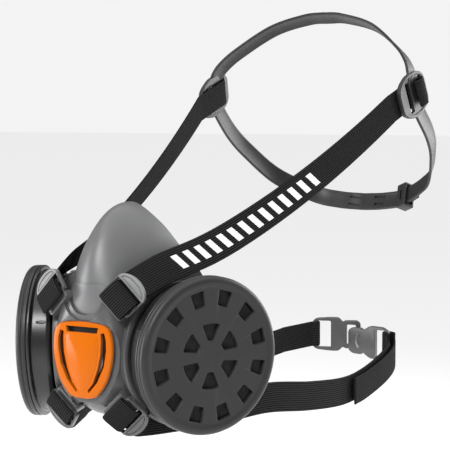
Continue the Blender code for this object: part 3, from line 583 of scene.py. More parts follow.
@dataclass(frozen=True)
class Webbing:
    """Elastic webbing with lengthwise ribs, crossed by fine weft lines."""

    name: str
    colour: tuple = (0.002, 0.002, 0.0022)
    rib: float = 1.35
    weft: float = 0.9
    hatched: bool = False

    def material(self) -> bpy.types.Material:
        """Build the finish from the weave place of each point, in millimetres.

        A rib is |sin(pi across / rib)|, a weft line sin(2 pi along / weft), shifted a little by the ribs.
        The hatch is a row of slanted bars on the outer face, where along plus half of across, repeated,
        is under the bar's width.
        """
        paint = Paint(self.name)
        weave = paint.node("ShaderNodeAttribute", {"attribute_name": "weave"}, {}, "Vector")
        parts = paint.tree.nodes.new("ShaderNodeSeparateXYZ")
        paint.tree.links.new(weave.socket, parts.inputs[0])
        along, across, out = (Wire(paint, parts.outputs[index]) for index in range(3))
        ribs = abs((across * (math.pi / self.rib)).wave())
        weft = (along * (math.tau / self.weft) + (across * (math.pi / self.rib)).wave() * 1.5).wave()
        fuzz = paint.noise(paint.place(), 0.8, 4.0)
        height = ribs * 0.7 + weft * 0.18 + fuzz * 0.35
        light = tuple(channel * 3 + 0.052 for channel in self.colour)
        lines = ((ribs - 0.72) * 3.5).limited() * (0.75 + weft * 0.25)
        colour = paint.mix((lines * 0.55 + fuzz * 0.25 - 0.05).limited(), self.colour, light)
        if self.hatched:
            slant = along + across * 0.5
            bars = slant.repeated(HATCH_PITCH) < HATCH_BAR
            inside = (abs(across) < HATCH_REACH) * (slant > HATCH_RUN[0]) * (slant < HATCH_RUN[1])
            colour = paint.mix(bars * inside * (out > 0) * (0.86 + fuzz * 0.2), colour, (0.78, 0.78, 0.78))
        paint.put(Base_Color=colour, Roughness=0.86 - ribs * 0.08, Normal=paint.relief(height, 0.16))
        paint.put(Specular_IOR_Level=0.03)
        return paint.material


@dataclass(frozen=True)
class Felt:
    """Matted fibres of the filter pad."""

    name: str
    colour: tuple = (0.010, 0.010, 0.0105)

    def material(self) -> bpy.types.Material:
        """Build the finish from two sizes of noise, one stretched into short fibres."""
        paint = Paint(self.name)
        place = paint.place()
        drawn = paint.node("ShaderNodeMapping", {}, {"Vector": place, "Scale": (1.0, 3.5, 0.7)})
        fibres = paint.noise(drawn, 0.9, 5.0)
        light = tuple(channel * 1.9 for channel in self.colour)
        paint.put(Base_Color=paint.mix(fibres, self.colour, light), Roughness=0.94)
        paint.put(Normal=paint.relief(fibres + paint.noise(place, 3.0) * 0.6, 0.25))
        return paint.material


CUP_RUBBER = Moulding("cup_rubber", (0.100, 0.101, 0.103), 0.40, grain=0.5, grain_depth=0.006, edge=0.0)
SADDLE_PLASTIC = Moulding("saddle_plastic", (0.060, 0.060, 0.062), 0.36, grain=0.4, wear=0.3)
HOUSING_PLASTIC = Moulding("housing_plastic", (0.010, 0.010, 0.011), 0.30, grain=0.3, grain_depth=0.004,
                           wear=0.15, gloss=0.42)
CAP_PLASTIC = Moulding("cap_plastic", (0.019, 0.019, 0.020), 0.42, grain=0.45, grain_depth=0.012,
                       wear=0.08, gloss=0.28)
# Saddle plastic painted lighter: painted highlight for the upper D tabs, which face the light.
TAB_PAINTED_HIGHLIGHT = Moulding("tab_plastic", (0.15, 0.151, 0.153), 0.45, grain=0.4, wear=0.2)
ORANGE_GLOSS = Moulding("orange_gloss", (0.44, 0.094, 0.0003), 0.20, grain=0.8, grain_depth=0.004, edge=0.0,
                        wear=0.06, clouding=0.03, gloss=0.12)
CRADLE_PLASTIC = Moulding("cradle_plastic", (0.015, 0.015, 0.016), 0.42, grain_depth=0.0, edge=0.0,
                          gloss=0.30)
CLASP_PLASTIC = Moulding("clasp_plastic", (0.042, 0.042, 0.044), 0.40, grain=0.4)
VALVE_PLASTIC = Moulding("valve_plastic", (0.05, 0.051, 0.055), 0.42)
VALVE_SILICONE = Moulding("valve_silicone", (0.34, 0.34, 0.33), 0.30, grain=0.6, wear=0.05)
# Dark rubber of the port gaskets, also used for the thin sheet of painted shade behind the valve cover's
# slots.
GASKET_RUBBER_AND_SLOT_SHADE = Moulding("gasket_rubber", (0.008, 0.008, 0.0085), 0.62, wear=0.1, gloss=0.12)


# ---------------------------------------------------------------- face cup


@dataclass
class FaceCup:
    """Soft cup: outer and inner skin, rolled face seal and a raised tongue under the nose."""

    wall: float = 2.4
    rings: int = 64
    per_span: int = 14
    bore: float = 13.9
    tongue_rise: float = 0.55

    def skin(self, offset: float = 0.0) -> np.ndarray:
        """Outer skin moved out by an offset, ring by ring from the seal to the front.

        Each column is a cubic Bezier curve through the four closed control curves, so a ring at t weighs
        them (1-t)^3, 3 t (1-t)^2, 3 t^2 (1-t) and t^3; the offset runs along the surface normal.
        """
        curves = [smooth_path(mirrored(half), self.per_span, closed=True)
                  for half in (SEAL_EDGE, SEAL_HANDLE, FRONT_HANDLE, FRONT_EDGE)]
        t = np.linspace(0, 1, self.rings)[:, None, None]
        weights = ((1 - t) ** 3, 3 * t * (1 - t) ** 2, 3 * t ** 2 * (1 - t), t ** 3)
        grid = sum(weight * curve[None] for weight, curve in zip(weights, curves))
        around = np.roll(grid, -1, axis=1) - np.roll(grid, 1, axis=1)
        normals = unit(np.cross(around, np.gradient(grid, axis=0)))
        normals *= np.sign(np.sum(normals[self.rings // 2] * grid[self.rings // 2]))
        return grid + normals * offset

    def form(self, offset: float, back: float = 24.0) -> Shape:
        """Solid inside the skin moved out by an offset, run back behind the face opening."""
        grid = self.skin(offset)
        end = grid[:1].copy()
        end[..., 1] = back
        return ringed(np.concatenate([end, grid]))

    def shell(self) -> Shape:
        """Closed cup wall; the seal rolls inwards as a smooth curve through eight rows."""
        outer, inner = self.skin(), self.skin(-self.wall)
        edge = outer[0]
        inwards = unit(-edge)
        back = np.array([0.0, 1.0, 0.0])
        rows = [(0.0, 0.0), (1.3, 1.0), (3.6, 1.2), (6.6, 0.2), (9.2, -1.2), (9.5, -2.1), (8.8, -2.9),
                (5.4, -2.6)]
        roll = np.array([edge + inwards * inward + back * rise for inward, rise in rows])
        roll = smooth_path(roll, 4)
        return ringed(np.concatenate([outer[::-1], roll[1:], inner[4:]]))

    def build(self) -> None:
        """Make the cup with its three valve bores and the tongue."""
        cup = write("cup_shell", self.shell(), 60)
        tongue = self.form(self.tongue_rise)
        piece = write("cup_tongue", tongue, 60)
        outline = rounded([(-10.5, 21.3), (9.6, 21.3), (13.4, 17.5), (6, 2), (-6, 2), (-13.4, 17.5)], 1.6)
        combine(piece, extruded_back(outline, 30, 60), Operation.KEEP, 60)
        combine(piece, self.form(-0.4), Operation.CUT, 60)
        for side in Side:
            tube = turned([(0, -30), (self.bore, -30), (self.bore, 8), (0, 8)], 0, 64)
            combine(cup, tube.placed(port_frame(side)), Operation.CUT, 50)
        tube = turned([(0, -20), (13.4, -20), (13.4, 12), (0, 12)], 0, 64)
        combine(cup, tube.placed(front_frame(-46)), Operation.CUT, 50)
        finish = CUP_RUBBER.material()
        settle(cup, "mask", finish, ["facepiece"])
        settle(piece, "mask", finish)


def extruded_back(outline: np.ndarray, near: float, far: float) -> Shape:
    """Prism of a front outline, between two distances in front of the face plane."""
    return loft(outline, [(0.0, near), (0.0, far)]).placed(axes((0, 0, 0), (1, 0, 0), (0, 0, 1)))


# ---------------------------------------------------------------- places


def port_frame(side: Side) -> np.ndarray:
    """Frame of a filter port: origin in the port face, Z out along the filter's axis, Y upwards."""
    yaw, tilt = math.radians(PORT_YAW), math.radians(PORT_TILT)
    normal = np.array([side.value * math.sin(yaw) * math.cos(tilt), -math.cos(yaw) * math.cos(tilt),
                       math.sin(tilt)])
    up = unit(np.array([0, 0, 1.0]) - normal * normal[2])
    return axes(to_side(PORT_CENTRE, side), np.cross(up, normal), up)


def front_frame(y: float) -> np.ndarray:
    """Frame of the exhalation valve: Z points forward, Y upwards, origin at a depth."""
    return axes((EXHALE_CENTRE[0], y, EXHALE_CENTRE[1]), (1, 0, 0), (0, 0, 1))


def bar_frame(ladder: tuple, side: Side) -> np.ndarray:
    """Frame of a strap ladder: X along its bar, Y the way the strap leaves, Z outwards."""
    centre, bar, leave = ladder
    place = axes(to_side(centre, side), to_side(bar, side), to_side(leave, side))
    if place[1, 2] > 0:
        place = axes(to_side(centre, side), to_side(-unit(bar), side), to_side(leave, side))
    return place


def pad_frame(side: Side) -> np.ndarray:
    """Frame of a cradle pad: X along the strap, Y up or down the pad, Z away from the head."""
    place = axes(to_side(PAD_CENTRE, side), to_side(PAD_ALONG, side), to_side(PAD_UP, side))
    if place[0, 2] * side.value < 0:
        place = axes(to_side(PAD_CENTRE, side), to_side(PAD_ALONG, side), -to_side(PAD_UP, side))
    return place


def clasp_frame(place: tuple) -> np.ndarray:
    """Frame of a clasp half: X towards the wearer's right, Y up, Z away from the neck."""
    centre, turn = place
    angle = math.radians(turn)
    return axes(centre, (-math.cos(angle), -math.sin(angle), 0), (0, 0, 1))


# ---------------------------------------------------------------- saddle


@dataclass
class Saddle:
    """Stiff yoke over the cup: stepped saddle, two bayonet ports and four strap ladders."""

    cup: FaceCup
    low_skin: float = 2.4
    high_skin: float = 3.8
    clearance: float = 0.6
    back_y: float = -30.0
    port_radius: float = 45.0
    tab_reach: float = 12.4
    half_length: float = 11.0
    slot_half_length: float = 9.9

    def outline(self, step: float) -> np.ndarray:
        """Front outline, notched over the nose and the chin; a step draws the notches back."""
        half = [(0, 3.2 - step), (6, 4.2 - step), (10 + step * 0.3, 8.5 - step),
                (14 + step * 0.5, 13.5 - step), (18 + step * 0.3, 16), (24, 15), (31, 7), (38, -10), (37, -34),
                (31, -46), (20, -52), (13 + step * 0.4, -53), (9 + step * 0.5, -48.5 + step), (0, -47 + step)]
        return rounded(mirrored(half), 3.0)

    def port(self) -> Shape:
        """Port flange with its hub, undercut for the filter's lugs."""
        rim = self.port_radius
        profile = [(18.9, -6), (20.8, -6), (20.8, -3), (rim - 1, -3), (rim, -2), (rim, 1.2), (rim - 1, 1.8),
                   (rim - 3, 1.8), (rim - 3.6, 0), (16, 0), (16, -2.9), (18.9, -2.9)]
        return turned(profile, 0.35)

    def tab_outline(self, inwards: float = 0.0) -> np.ndarray:
        """D-shaped tab beyond a ladder's slots: half an ellipse on a straight base."""
        angles = np.linspace(0, math.pi, 13)
        length, reach = self.half_length - inwards, self.tab_reach - 5.2 - inwards * 1.6
        return np.column_stack([length * np.cos(angles), 5.2 + inwards * 0.6 + reach * np.sin(angles)])

    def ladders(self, saddle: bpy.types.Object, tabs: list) -> None:
        """Join the ladders' plates and roots to the saddle, and collect their tabs."""
        for side in Side:
            for ladder in (UPPER_BAR, LOWER_BAR):
                place = bar_frame(ladder, side)
                length = self.half_length
                narrow = length - 2.0
                base = [(-length, -7.2), (length, -7.2), (length, 6.2), (-length, 6.2)]
                combine(saddle, plate(base, -1.5, 1.5, 1.6, 0.5).placed(place), Operation.ADD)
                root = [(-narrow, -12), (narrow, -12), (narrow, -5.5), (-narrow, -5.5)]
                combine(saddle, plate(root, -7, 0.4, 2.0, 0.6).placed(place), Operation.ADD)
                tabs.append((place, ladder is UPPER_BAR))

    def cuts(self) -> Shape:
        """Cutters of the ladder slots, bayonet notches and strap reliefs."""
        cutters = []
        reach = self.slot_half_length
        for side in Side:
            for ladder in (UPPER_BAR, LOWER_BAR):
                for low, high in ((-5.2, -1.6), (1.6, 5.2)):
                    slot = [(-reach, low), (reach, low), (reach, high), (-reach, high)]
                    cutters.append(plate(slot, -3, 3, 0.6, 0.1).placed(bar_frame(ladder, side)))
            for index in range(3):
                angles = np.radians(np.linspace(-19, 19, 9) + index * 120 + side.value * 40)
                arc = np.column_stack([np.sin(angles), np.cos(angles)])
                notch = np.concatenate([arc * 18.8, arc[::-1] * 15])
                cutters.append(plate(notch, -4, 3, 0.0, 0.05).placed(port_frame(side)))
            relief = [(-30, 41), (30, 41), (30, 52), (-30, 52)]
            cutters.append(plate(relief, -4, 4, 0.0, 0.05).placed(port_frame(side)))
        return cutters[0].joined(*cutters[1:])

    def build(self) -> None:
        """Make the saddle and its tabs."""
        saddle = write("saddle", self.cup.form(self.low_skin))
        combine(saddle, extruded_back(self.outline(0.0), -self.back_y, 75), Operation.KEEP)
        upper = write("saddle_upper", self.cup.form(self.high_skin))
        combine(upper, extruded_back(self.outline(4.0), -self.back_y + 0.5, 74), Operation.KEEP)
        combine(saddle, mesh_shape(upper), Operation.ADD)
        bpy.data.objects.remove(upper)
        tabs: list = []
        self.ladders(saddle, tabs)
        combine(saddle, self.cup.form(self.clearance), Operation.CUT)
        for side in Side:
            combine(saddle, self.port().placed(port_frame(side)), Operation.ADD)
        combine(saddle, self.cuts(), Operation.CUT)
        bore = turned([(0, -6), (13.4, -6), (13.4, 12), (0, 12)], 0, 64).placed(front_frame(-50))
        combine(saddle, bore, Operation.CUT)
        pocket = rounded([(x * 1.02, z * 1.01 + 0.2) for x, z in ValveCover.outline()], 0)
        combine(saddle, extruded_back(pocket, 54.25, 70), Operation.CUT)
        settle(saddle, "mask", SADDLE_PLASTIC.material(), ["yoke"])
        self.tabs(tabs)

    def tabs(self, places: list) -> None:
        """Make the four D tabs, each with a D-shaped groove; the upper two wear a lighter copy of the saddle
        plastic as painted highlight.
        """
        painted_lit, dark = TAB_PAINTED_HIGHLIGHT.material(), SADDLE_PLASTIC.material()
        for number, (place, is_upper) in enumerate(places):
            whole = plate(self.tab_outline(), -1.5, 1.6, 1.5, 0.5)
            tab = write(f"ladder_tab_{number + 1}", whole.placed(place))
            outer = plate(self.tab_outline(2.0), 1.0, 3.0, 1.0, 0.05).placed(place)
            combine(tab, outer, Operation.CUT)
            island = plate(self.tab_outline(2.6), -0.5, 1.6, 1.0, 0.2).placed(place)
            combine(tab, island, Operation.ADD)
            settle(tab, "mask", painted_lit if is_upper else dark)


def mesh_shape(piece: bpy.types.Object) -> Shape:
    """Read an object's mesh back as a shape in millimetres."""
    points = np.empty(len(piece.data.vertices) * 3)
    piece.data.vertices.foreach_get("co", points)
    faces = [list(polygon.vertices) for polygon in piece.data.polygons]
    return Shape(points.reshape(-1, 3) / MM, faces)


# ---------------------------------------------------------------- valve cover


@dataclass
class ValveCover:
    """Orange shield over the exhalation valve, with a raised inner shield and three slots round it."""

    back_y: float = -54.6
    front_y: float = -56.8
    crown: float = 1.6
    lip: float = 0.15
    inner: tuple = ((0, -6.6), (7.5, -6.8), (11.0, -8.2), (12.0, -13), (11.4, -20), (9.4, -28), (5.6, -36),
                    (2.0, -40.2), (0, -40.8))

    @staticmethod
    def outline() -> np.ndarray:
        """Shield outline: flat top, full shoulders and a rounded point."""
        half = [(0, -0.2), (10, -0.7), (17, -2.4), (20, -7), (21, -15), (20, -24), (16.5, -34), (10, -42.5),
                (5, -44.4), (0, -44.6)]
        return mirrored(half)

    def slots(self) -> Shape:
        """Cutters of the top slot and the two long side slots."""
        top = [(-11.5, -3.0), (11.5, -3.0), (10.6, -6.4), (-10.6, -6.4)]
        side = [(13.0, -6.2), (15.6, -5.6), (16.9, -10), (17.0, -16), (15.4, -25), (10.6, -34.5),
                (4.4, -41.2), (3.6, -39.8), (7.2, -35.5), (10.8, -27), (12.9, -18), (13.3, -11)]
        other = [(-x, z) for x, z in side]
        shapes = [extruded_back(rounded(slot, 0.5), 50, 70) for slot in (top, side, other)]
        return shapes[0].joined(*shapes[1:])

    def build(self) -> None:
        """Make the cover and a thin dark sheet behind it, painted shade seen through its slots.

        At t of the way from its edge to its middle the inner shield stands
        lip + (crown - lip) (1 - (1 - t)^2) proud.
        """
        outline = smooth_path(self.outline(), 5, closed=True)
        back, depth, lip = -self.back_y, -self.front_y, self.lip
        edge = [(0.0, back), (0.0, depth - 1.2), (0.25, depth - 0.6), (0.7, depth - 0.2), (1.4, depth)]
        base = loft(outline, edge).placed(axes((0, 0, 0), (1, 0, 0), (0, 0, 1)))
        cover = write("cover_shield", base)
        combine(cover, self.slots(), Operation.CUT)
        middle = EXHALE_CENTRE[1]
        inner = smooth_path(mirrored(self.inner), 5, closed=True)
        rings = [(1.0, back + 0.3), (1.0, depth - 0.5), (0.985, depth - 0.1), (0.95, depth + lip)]
        rings += [(0.95 * (1 - t), depth + lip + (self.crown - lip) * (1 - (1 - t) ** 2))
                  for t in np.linspace(0.08, 0.96, 10)]
        centre = np.array([0.0, middle])
        grid = np.array([np.column_stack([centre + (inner - centre) * size, np.full(len(inner), height)])
                         for size, height in rings])
        shield = ringed(grid).placed(axes((0, 0, 0), (1, 0, 0), (0, 0, 1)))
        combine(cover, shield, Operation.ADD, 25)
        settle(cover, "cover", ORANGE_GLOSS.material(), ["valve_cover"])
        # Thin dark sheet in the pocket behind the cover: painted shade where the slots show through.
        shade_plate = plate(outline * (0.93, 0.94) - (0, 1.3), back - 0.33, back - 0.08, 0.0, 0.05)
        seal = write("cover_seal", shade_plate.placed(axes((0, 0, 0), (1, 0, 0), (0, 0, 1))))
        bore = turned([(0, -3), (13.2, -3), (13.2, 3), (0, 3)], 0, 64)
        combine(seal, bore.placed(front_frame(self.back_y)), Operation.CUT)
        settle(seal, "mask", GASKET_RUBBER_AND_SLOT_SHADE.material())


# ---------------------------------------------------------------- filters


@dataclass
class Cartridge:
    """Round filter: housing with bayonet lugs, felt pad and pierced cap."""

    side: Side
    drum_radius: float = 42.5
    cap_radius: float = 46.0
    face: float = 24.0
    outer_slots: int = 12
    inner_slots: int = 6

    def housing(self) -> Shape:
        """Turned housing with a stepped base and a flange under the cap."""
        outer = self.drum_radius
        profile = [(13.7, -5.4), (15.5, -5.4), (15.5, 3), (outer - 3, 3), (outer - 0.9, 3.9), (outer, 6),
                   (outer, 14.6), (outer + 0.7, 15.2), (45.2, 15.2), (46, 15.7), (46, 16.8), (45.7, 17.2),
                   (40.7, 17.2), (40.7, 5), (13.7, 5)]
        return turned(profile, 0.35)

    def lugs(self) -> Shape:
        """Three bayonet lugs, 32 degrees wide each."""
        shapes = []
        for index in range(3):
            angles = np.radians(np.linspace(-16, 16, 9) + index * 120)
            arc = np.column_stack([np.sin(angles), np.cos(angles)])
            outline = np.concatenate([arc * 18.4, arc[::-1] * 14.7])
            shapes.append(plate(outline, -5.4, -3.3, 0.0, 0.2))
        return shapes[0].joined(*shapes[1:])

    def slot_outlines(self) -> list:
        """Outlines of the outer trapezoid slots and the inner fan slots."""
        outlines = []
        for index in range(self.outer_slots):
            angle = math.radians((index + 0.5) * 360 / self.outer_slots)
            out = np.array([math.sin(angle), math.cos(angle)])
            side = np.array([out[1], -out[0]])
            corners = [out * 29.5 + side * 3.4, out * 38.3 + side * 4.5, out * 38.3 - side * 4.5,
                       out * 29.5 - side * 3.4]
            outlines.append(rounded(corners, 0.9, 5))
        for index in range(self.inner_slots):
            middle = index * 360 / self.inner_slots
            near = np.radians(np.array([-12.0, 12.0]) + middle)
            far = np.radians(np.array([18.0, 9.0, 0.0, -9.0, -18.0]) + middle)
            corners = np.concatenate([np.column_stack([np.sin(near), np.cos(near)]) * 9.5,
                                      np.column_stack([np.sin(far), np.cos(far)]) * 19.0])
            outlines.append(rounded(corners, 0.8, 5))
        return outlines

    def cap(self) -> Shape:
        """Turned cap: raised rim, shallow seam line and flat face."""
        rim, face = self.cap_radius, self.face
        profile = [(0, face - 0.5), (0, face - 2.6), (38.7, face - 2.6), (38.7, 11.5), (40.3, 11.5),
                   (40.3, 17.55), (rim - 0.3, 17.55), (rim, 17.9), (rim, 19.6), (rim - 0.5, 20.0),
                   (rim - 0.5, 20.4), (rim, 20.8), (rim - 0.25, 22.2), (rim - 1.2, 23.4), (rim - 2.8, face),
                   (rim - 4.6, face - 0.1), (rim - 6.2, face - 0.5)]
        radii = [0, 0, 0.2, 0.2, 0.2, 0.2, 0.2, 0.2, 0.15, 0.1, 0.1, 0.3, 0.6, 0.8, 0.9, 0.8, 0.9]
        return turned(profile, radii)

    def build(self) -> None:
        """Make the housing, lugs and cap, and dress the felt pad."""
        place, label = port_frame(self.side), self.side.label
        body = write(f"housing_{label}", self.housing().placed(place))
        combine(body, self.lugs().placed(place), Operation.ADD)
        tick = [(-0.25, 5.2), (0.25, 5.2), (0.9, 8.6), (0.5, 12.0), (-0.5, 12.0), (-0.9, 8.6)]
        turn = self.tick_frame(place)
        combine(body, plate(tick, -1.0, 0.35, 0.3, 0.15).placed(turn), Operation.ADD)
        finish = HOUSING_PLASTIC.material()
        settle(body, f"filter_{label}", finish, [f"filter_drum_{label}"])
        cap = write(f"cap_{label}", self.cap().placed(place))
        cutters = []
        for outline in self.slot_outlines():
            stations = [(0.0, 20.6), (0.0, self.face - 1.0), (-0.35, self.face - 0.5), (-0.35, self.face + 3)]
            cutters.append(loft(outline, stations).placed(place))
        combine(cap, cutters[0].joined(*cutters[1:]), Operation.CUT)
        finish = CAP_PLASTIC.material()
        settle(cap, f"cap_{label}", finish, [f"filter_cap_{label}"])
        dress_node(f"filter_media_{label}", Felt(f"felt_{label}").material())
        dress_node(f"port_gasket_{label}", GASKET_RUBBER_AND_SLOT_SHADE.material())

    def tick_frame(self, place: np.ndarray) -> np.ndarray:
        """Frame of the alignment tick on the housing's wall: X round it, Y along the filter's axis."""
        angle = math.radians(-68 * self.side.value)
        out = place[:3, 0] * math.sin(angle) + place[:3, 1] * math.cos(angle)
        axis = place[:3, 2]
        return axes(place[:3, 3] + out * self.drum_radius, np.cross(axis, out), axis)


# ---------------------------------------------------------------- straps


@dataclass
class Strap:
    """Elastic strap from a ladder's bar, past the line where it swings, to its far fitting."""

    side: Side
    width: float = STRAP_W
    thickness: float = STRAP_T
    swing_gap: float = 8.0
    block: tuple = ((1.2, 2.35), (-3.5, 2.4), (-7.4, 2.45), (-8.9, 2.6), (-9.7, 3.3), (-8.9, 4.15),
                    (-6.5, 4.45), (-2.0, 4.5), (1.2, 4.3), (2.9, 3.0), (3.2, 0.6), (3.3, -1.4), (4.6, -2.8),
                    (8.0, -2.9))

    def section(self, ribs: int = 14) -> np.ndarray:
        """Flat oval section whose faces carry shallow ribs, each a half sine 0.07 mm high."""
        across = np.linspace(-1, 1, ribs * 6 + 1)
        fall = np.sqrt(np.clip(1 - np.abs(across) ** 14, 0, 1))
        height = self.thickness / 2 * fall + 0.07 * np.abs(np.sin(across * ribs * math.pi / 2)) * fall
        face = np.column_stack([across * self.width / 2, height])
        return np.concatenate([face, -face[1:-1]])

    def start(self, ladder: tuple) -> tuple:
        """Folded block over the ladder, and the point under the tab where the strap leaves it.

        Returns:
            The block's points, the leaving point and the width direction, which points upwards.
        """
        place = bar_frame(ladder, self.side)
        fold = smooth_path(self.block, 5)
        points = place[:3, 3] + fold[:, :1] * place[:3, 1] + fold[:, 1:] * place[:3, 2]
        bar = place[:3, 0] * np.sign(place[2, 0])
        return points[:-1], points[-1], bar

    def finish(self, name: str, bodies: tuple, path: np.ndarray, widths: np.ndarray, bend: tuple,
               material: bpy.types.Material, replaced: Sequence[str]) -> None:
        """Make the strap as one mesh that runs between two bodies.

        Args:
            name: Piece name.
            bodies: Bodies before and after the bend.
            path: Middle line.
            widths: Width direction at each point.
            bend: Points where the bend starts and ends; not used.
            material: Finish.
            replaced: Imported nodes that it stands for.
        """
        shape = sweep(path, widths, self.section())
        shape.weave[:, 2] *= self.side.value
        strap = write(name, shape, 50)
        strap.data.materials.append(material)
        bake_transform(strap)
        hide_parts(*replaced)
        log.info("%s bends between %s and %s, %d faces", name, *bodies, len(strap.data.polygons))


def split(path: np.ndarray, reach: float, gap: float) -> tuple:
    """Points at two distances along a path: where a bend starts and ends."""
    lengths = np.concatenate([[0], np.cumsum(np.linalg.norm(np.diff(path, axis=0), axis=1))])
    return tuple(np.array([np.interp(distance, lengths, path[:, axis]) for axis in range(3)])
                 for distance in (reach, reach + gap))


@dataclass
class HeadStrap(Strap):
    """Strap from the saddle's upper ladder to the cradle's pad, threaded through the pad's slots."""

    sag: float = 11.0
    reach: float = 7.0

    def route(self) -> np.ndarray:
        """Middle line to the pad: straight, hung down by 4 t (1 - t) of the sag, lifted over the port."""
        start = self.start(UPPER_BAR)[1]
        pad = pad_frame(self.side)
        end = pad[:3, 3] + pad[:3, 0] * -27 + pad[:3, 2] * (-1.2 - self.thickness / 2 - 1.2)
        steps = np.linspace(0, 1, 97)
        path = start + (end - start) * steps[:, None]
        lift = np.interp(steps, (0, 0.05, 0.1, 0.14, 0.2, 0.28), (0, 3.4, 3.4, 2.6, 1.1, 0))
        path[:, 2] += np.convolve(np.pad(lift, 6, mode="edge"), np.ones(13) / 13, mode="valid")
        path[:, 2] -= self.sag * 4 * steps * (1 - steps)
        return path

    def build(self, material: bpy.types.Material) -> None:
        """Make the strap from its turn round the bar to its free end in the pad's window."""
        turn, _, bar = self.start(UPPER_BAR)
        free = self.route()
        pad = pad_frame(self.side)
        under = 1.2 + self.thickness / 2 + 1.0
        local = [(-22, -under), (0, -under), (9, -under), (12.4, -under + 0.8), (13.1, 0),
                 (12.4, under - 0.6), (11.4, under + 1.2), (8.8, under + 2.5), (5, under + 2.6),
                 (2.2, under + 1.8), (1.2, under + 0.5)]
        corners = [pad[:3, 3] + pad[:3, 0] * along + pad[:3, 2] * out for along, out in local]
        threaded = smooth_path(corners, 5)
        up = pad[:3, 1] * np.sign(pad[2, 1])
        path = np.concatenate([turn, free, threaded])
        widths = np.concatenate([np.tile(bar, (len(turn), 1)), turned_directions(bar, up, len(free), 0.6),
                                 np.tile(up, (len(threaded), 1))])
        label = self.side.label
        self.finish(f"head_strap_{label}", ("mask", "harness"), path, widths,
                    split(free, self.reach, self.swing_gap), material,
                    [f"upper_strap_{label}", f"upper_anchor_{label}"])


@dataclass
class NeckStrap(Strap):
    """Strap from the saddle's lower ladder round the neck to the clasp, wrapped round its bar."""

    reach: float = 1.6

    def route(self) -> np.ndarray:
        """Middle line from the lower ladder to the clasp."""
        points = [(26.5, -30, -58.8), (31, -19, -58.8), (37.6, -4, -58.5), (47, 18, -58), (55, 60, -57),
                  (57, 112, -63.5), (55.5, 160, -68)]
        if self.side is Side.LEFT:
            points += [(52, 196, -67.5), (47, 235, -63), (41, 264, -58)]
        else:
            points += [(54, 200, -64), (51, 235, -57), (46, 262, -53)]
        start = self.start(LOWER_BAR)[1]
        return smooth_path([start] + [to_side(point, self.side) for point in points], 10)

    def wrap(self) -> np.ndarray:
        """Turn round the clasp's bar, and on the left the free tail that lies outside the strap."""
        if self.side is Side.LEFT:
            place, bar, half = clasp_frame(HOOK_PLACE), -16.0, 1.7
        else:
            place, bar, half = clasp_frame(LOOP_PLACE), 17.25, 2.25
        radius = math.hypot(half, 1.5) + self.thickness / 2 + 0.25
        angles = np.radians(np.linspace(-110, 110, 33))
        across, out = bar + self.side.value * radius * np.cos(angles), radius * np.sin(angles)
        points = place[:3, 3] + across[:, None] * place[:3, 0] + out[:, None] * place[:3, 2]
        if self.side is Side.RIGHT:
            return points
        tail = [points[-1] + np.array([3.0, -1.5, 0]), (43.6, 266.4, -60), (50.4, 236.6, -64.5),
                (55.8, 197, -68.7), (58.6, 174, -69.6)]
        return np.concatenate([points, smooth_path(tail, 8)])

    def build(self, material: bpy.types.Material) -> None:
        """Make the strap from its turn round the bar to the clasp."""
        turn, _, bar = self.start(LOWER_BAR)
        free, wrap = self.route(), self.wrap()
        up = np.array([0.0, 0.0, 1.0])
        path = np.concatenate([turn, free, wrap])
        near = turned_directions(bar, up, 14, 0.4)
        rest = len(free) + len(wrap) - len(near)
        widths = np.concatenate([np.tile(bar, (len(turn), 1)), near, np.tile(up, (rest, 1))])
        label = self.side.label
        self.finish(f"neck_strap_{label}", ("mask", "neck"), path, widths,
                    split(free, self.reach, self.swing_gap), material,
                    [f"lower_strap_{label}", f"lower_anchor_{label}"])


# ---------------------------------------------------------------- cradle


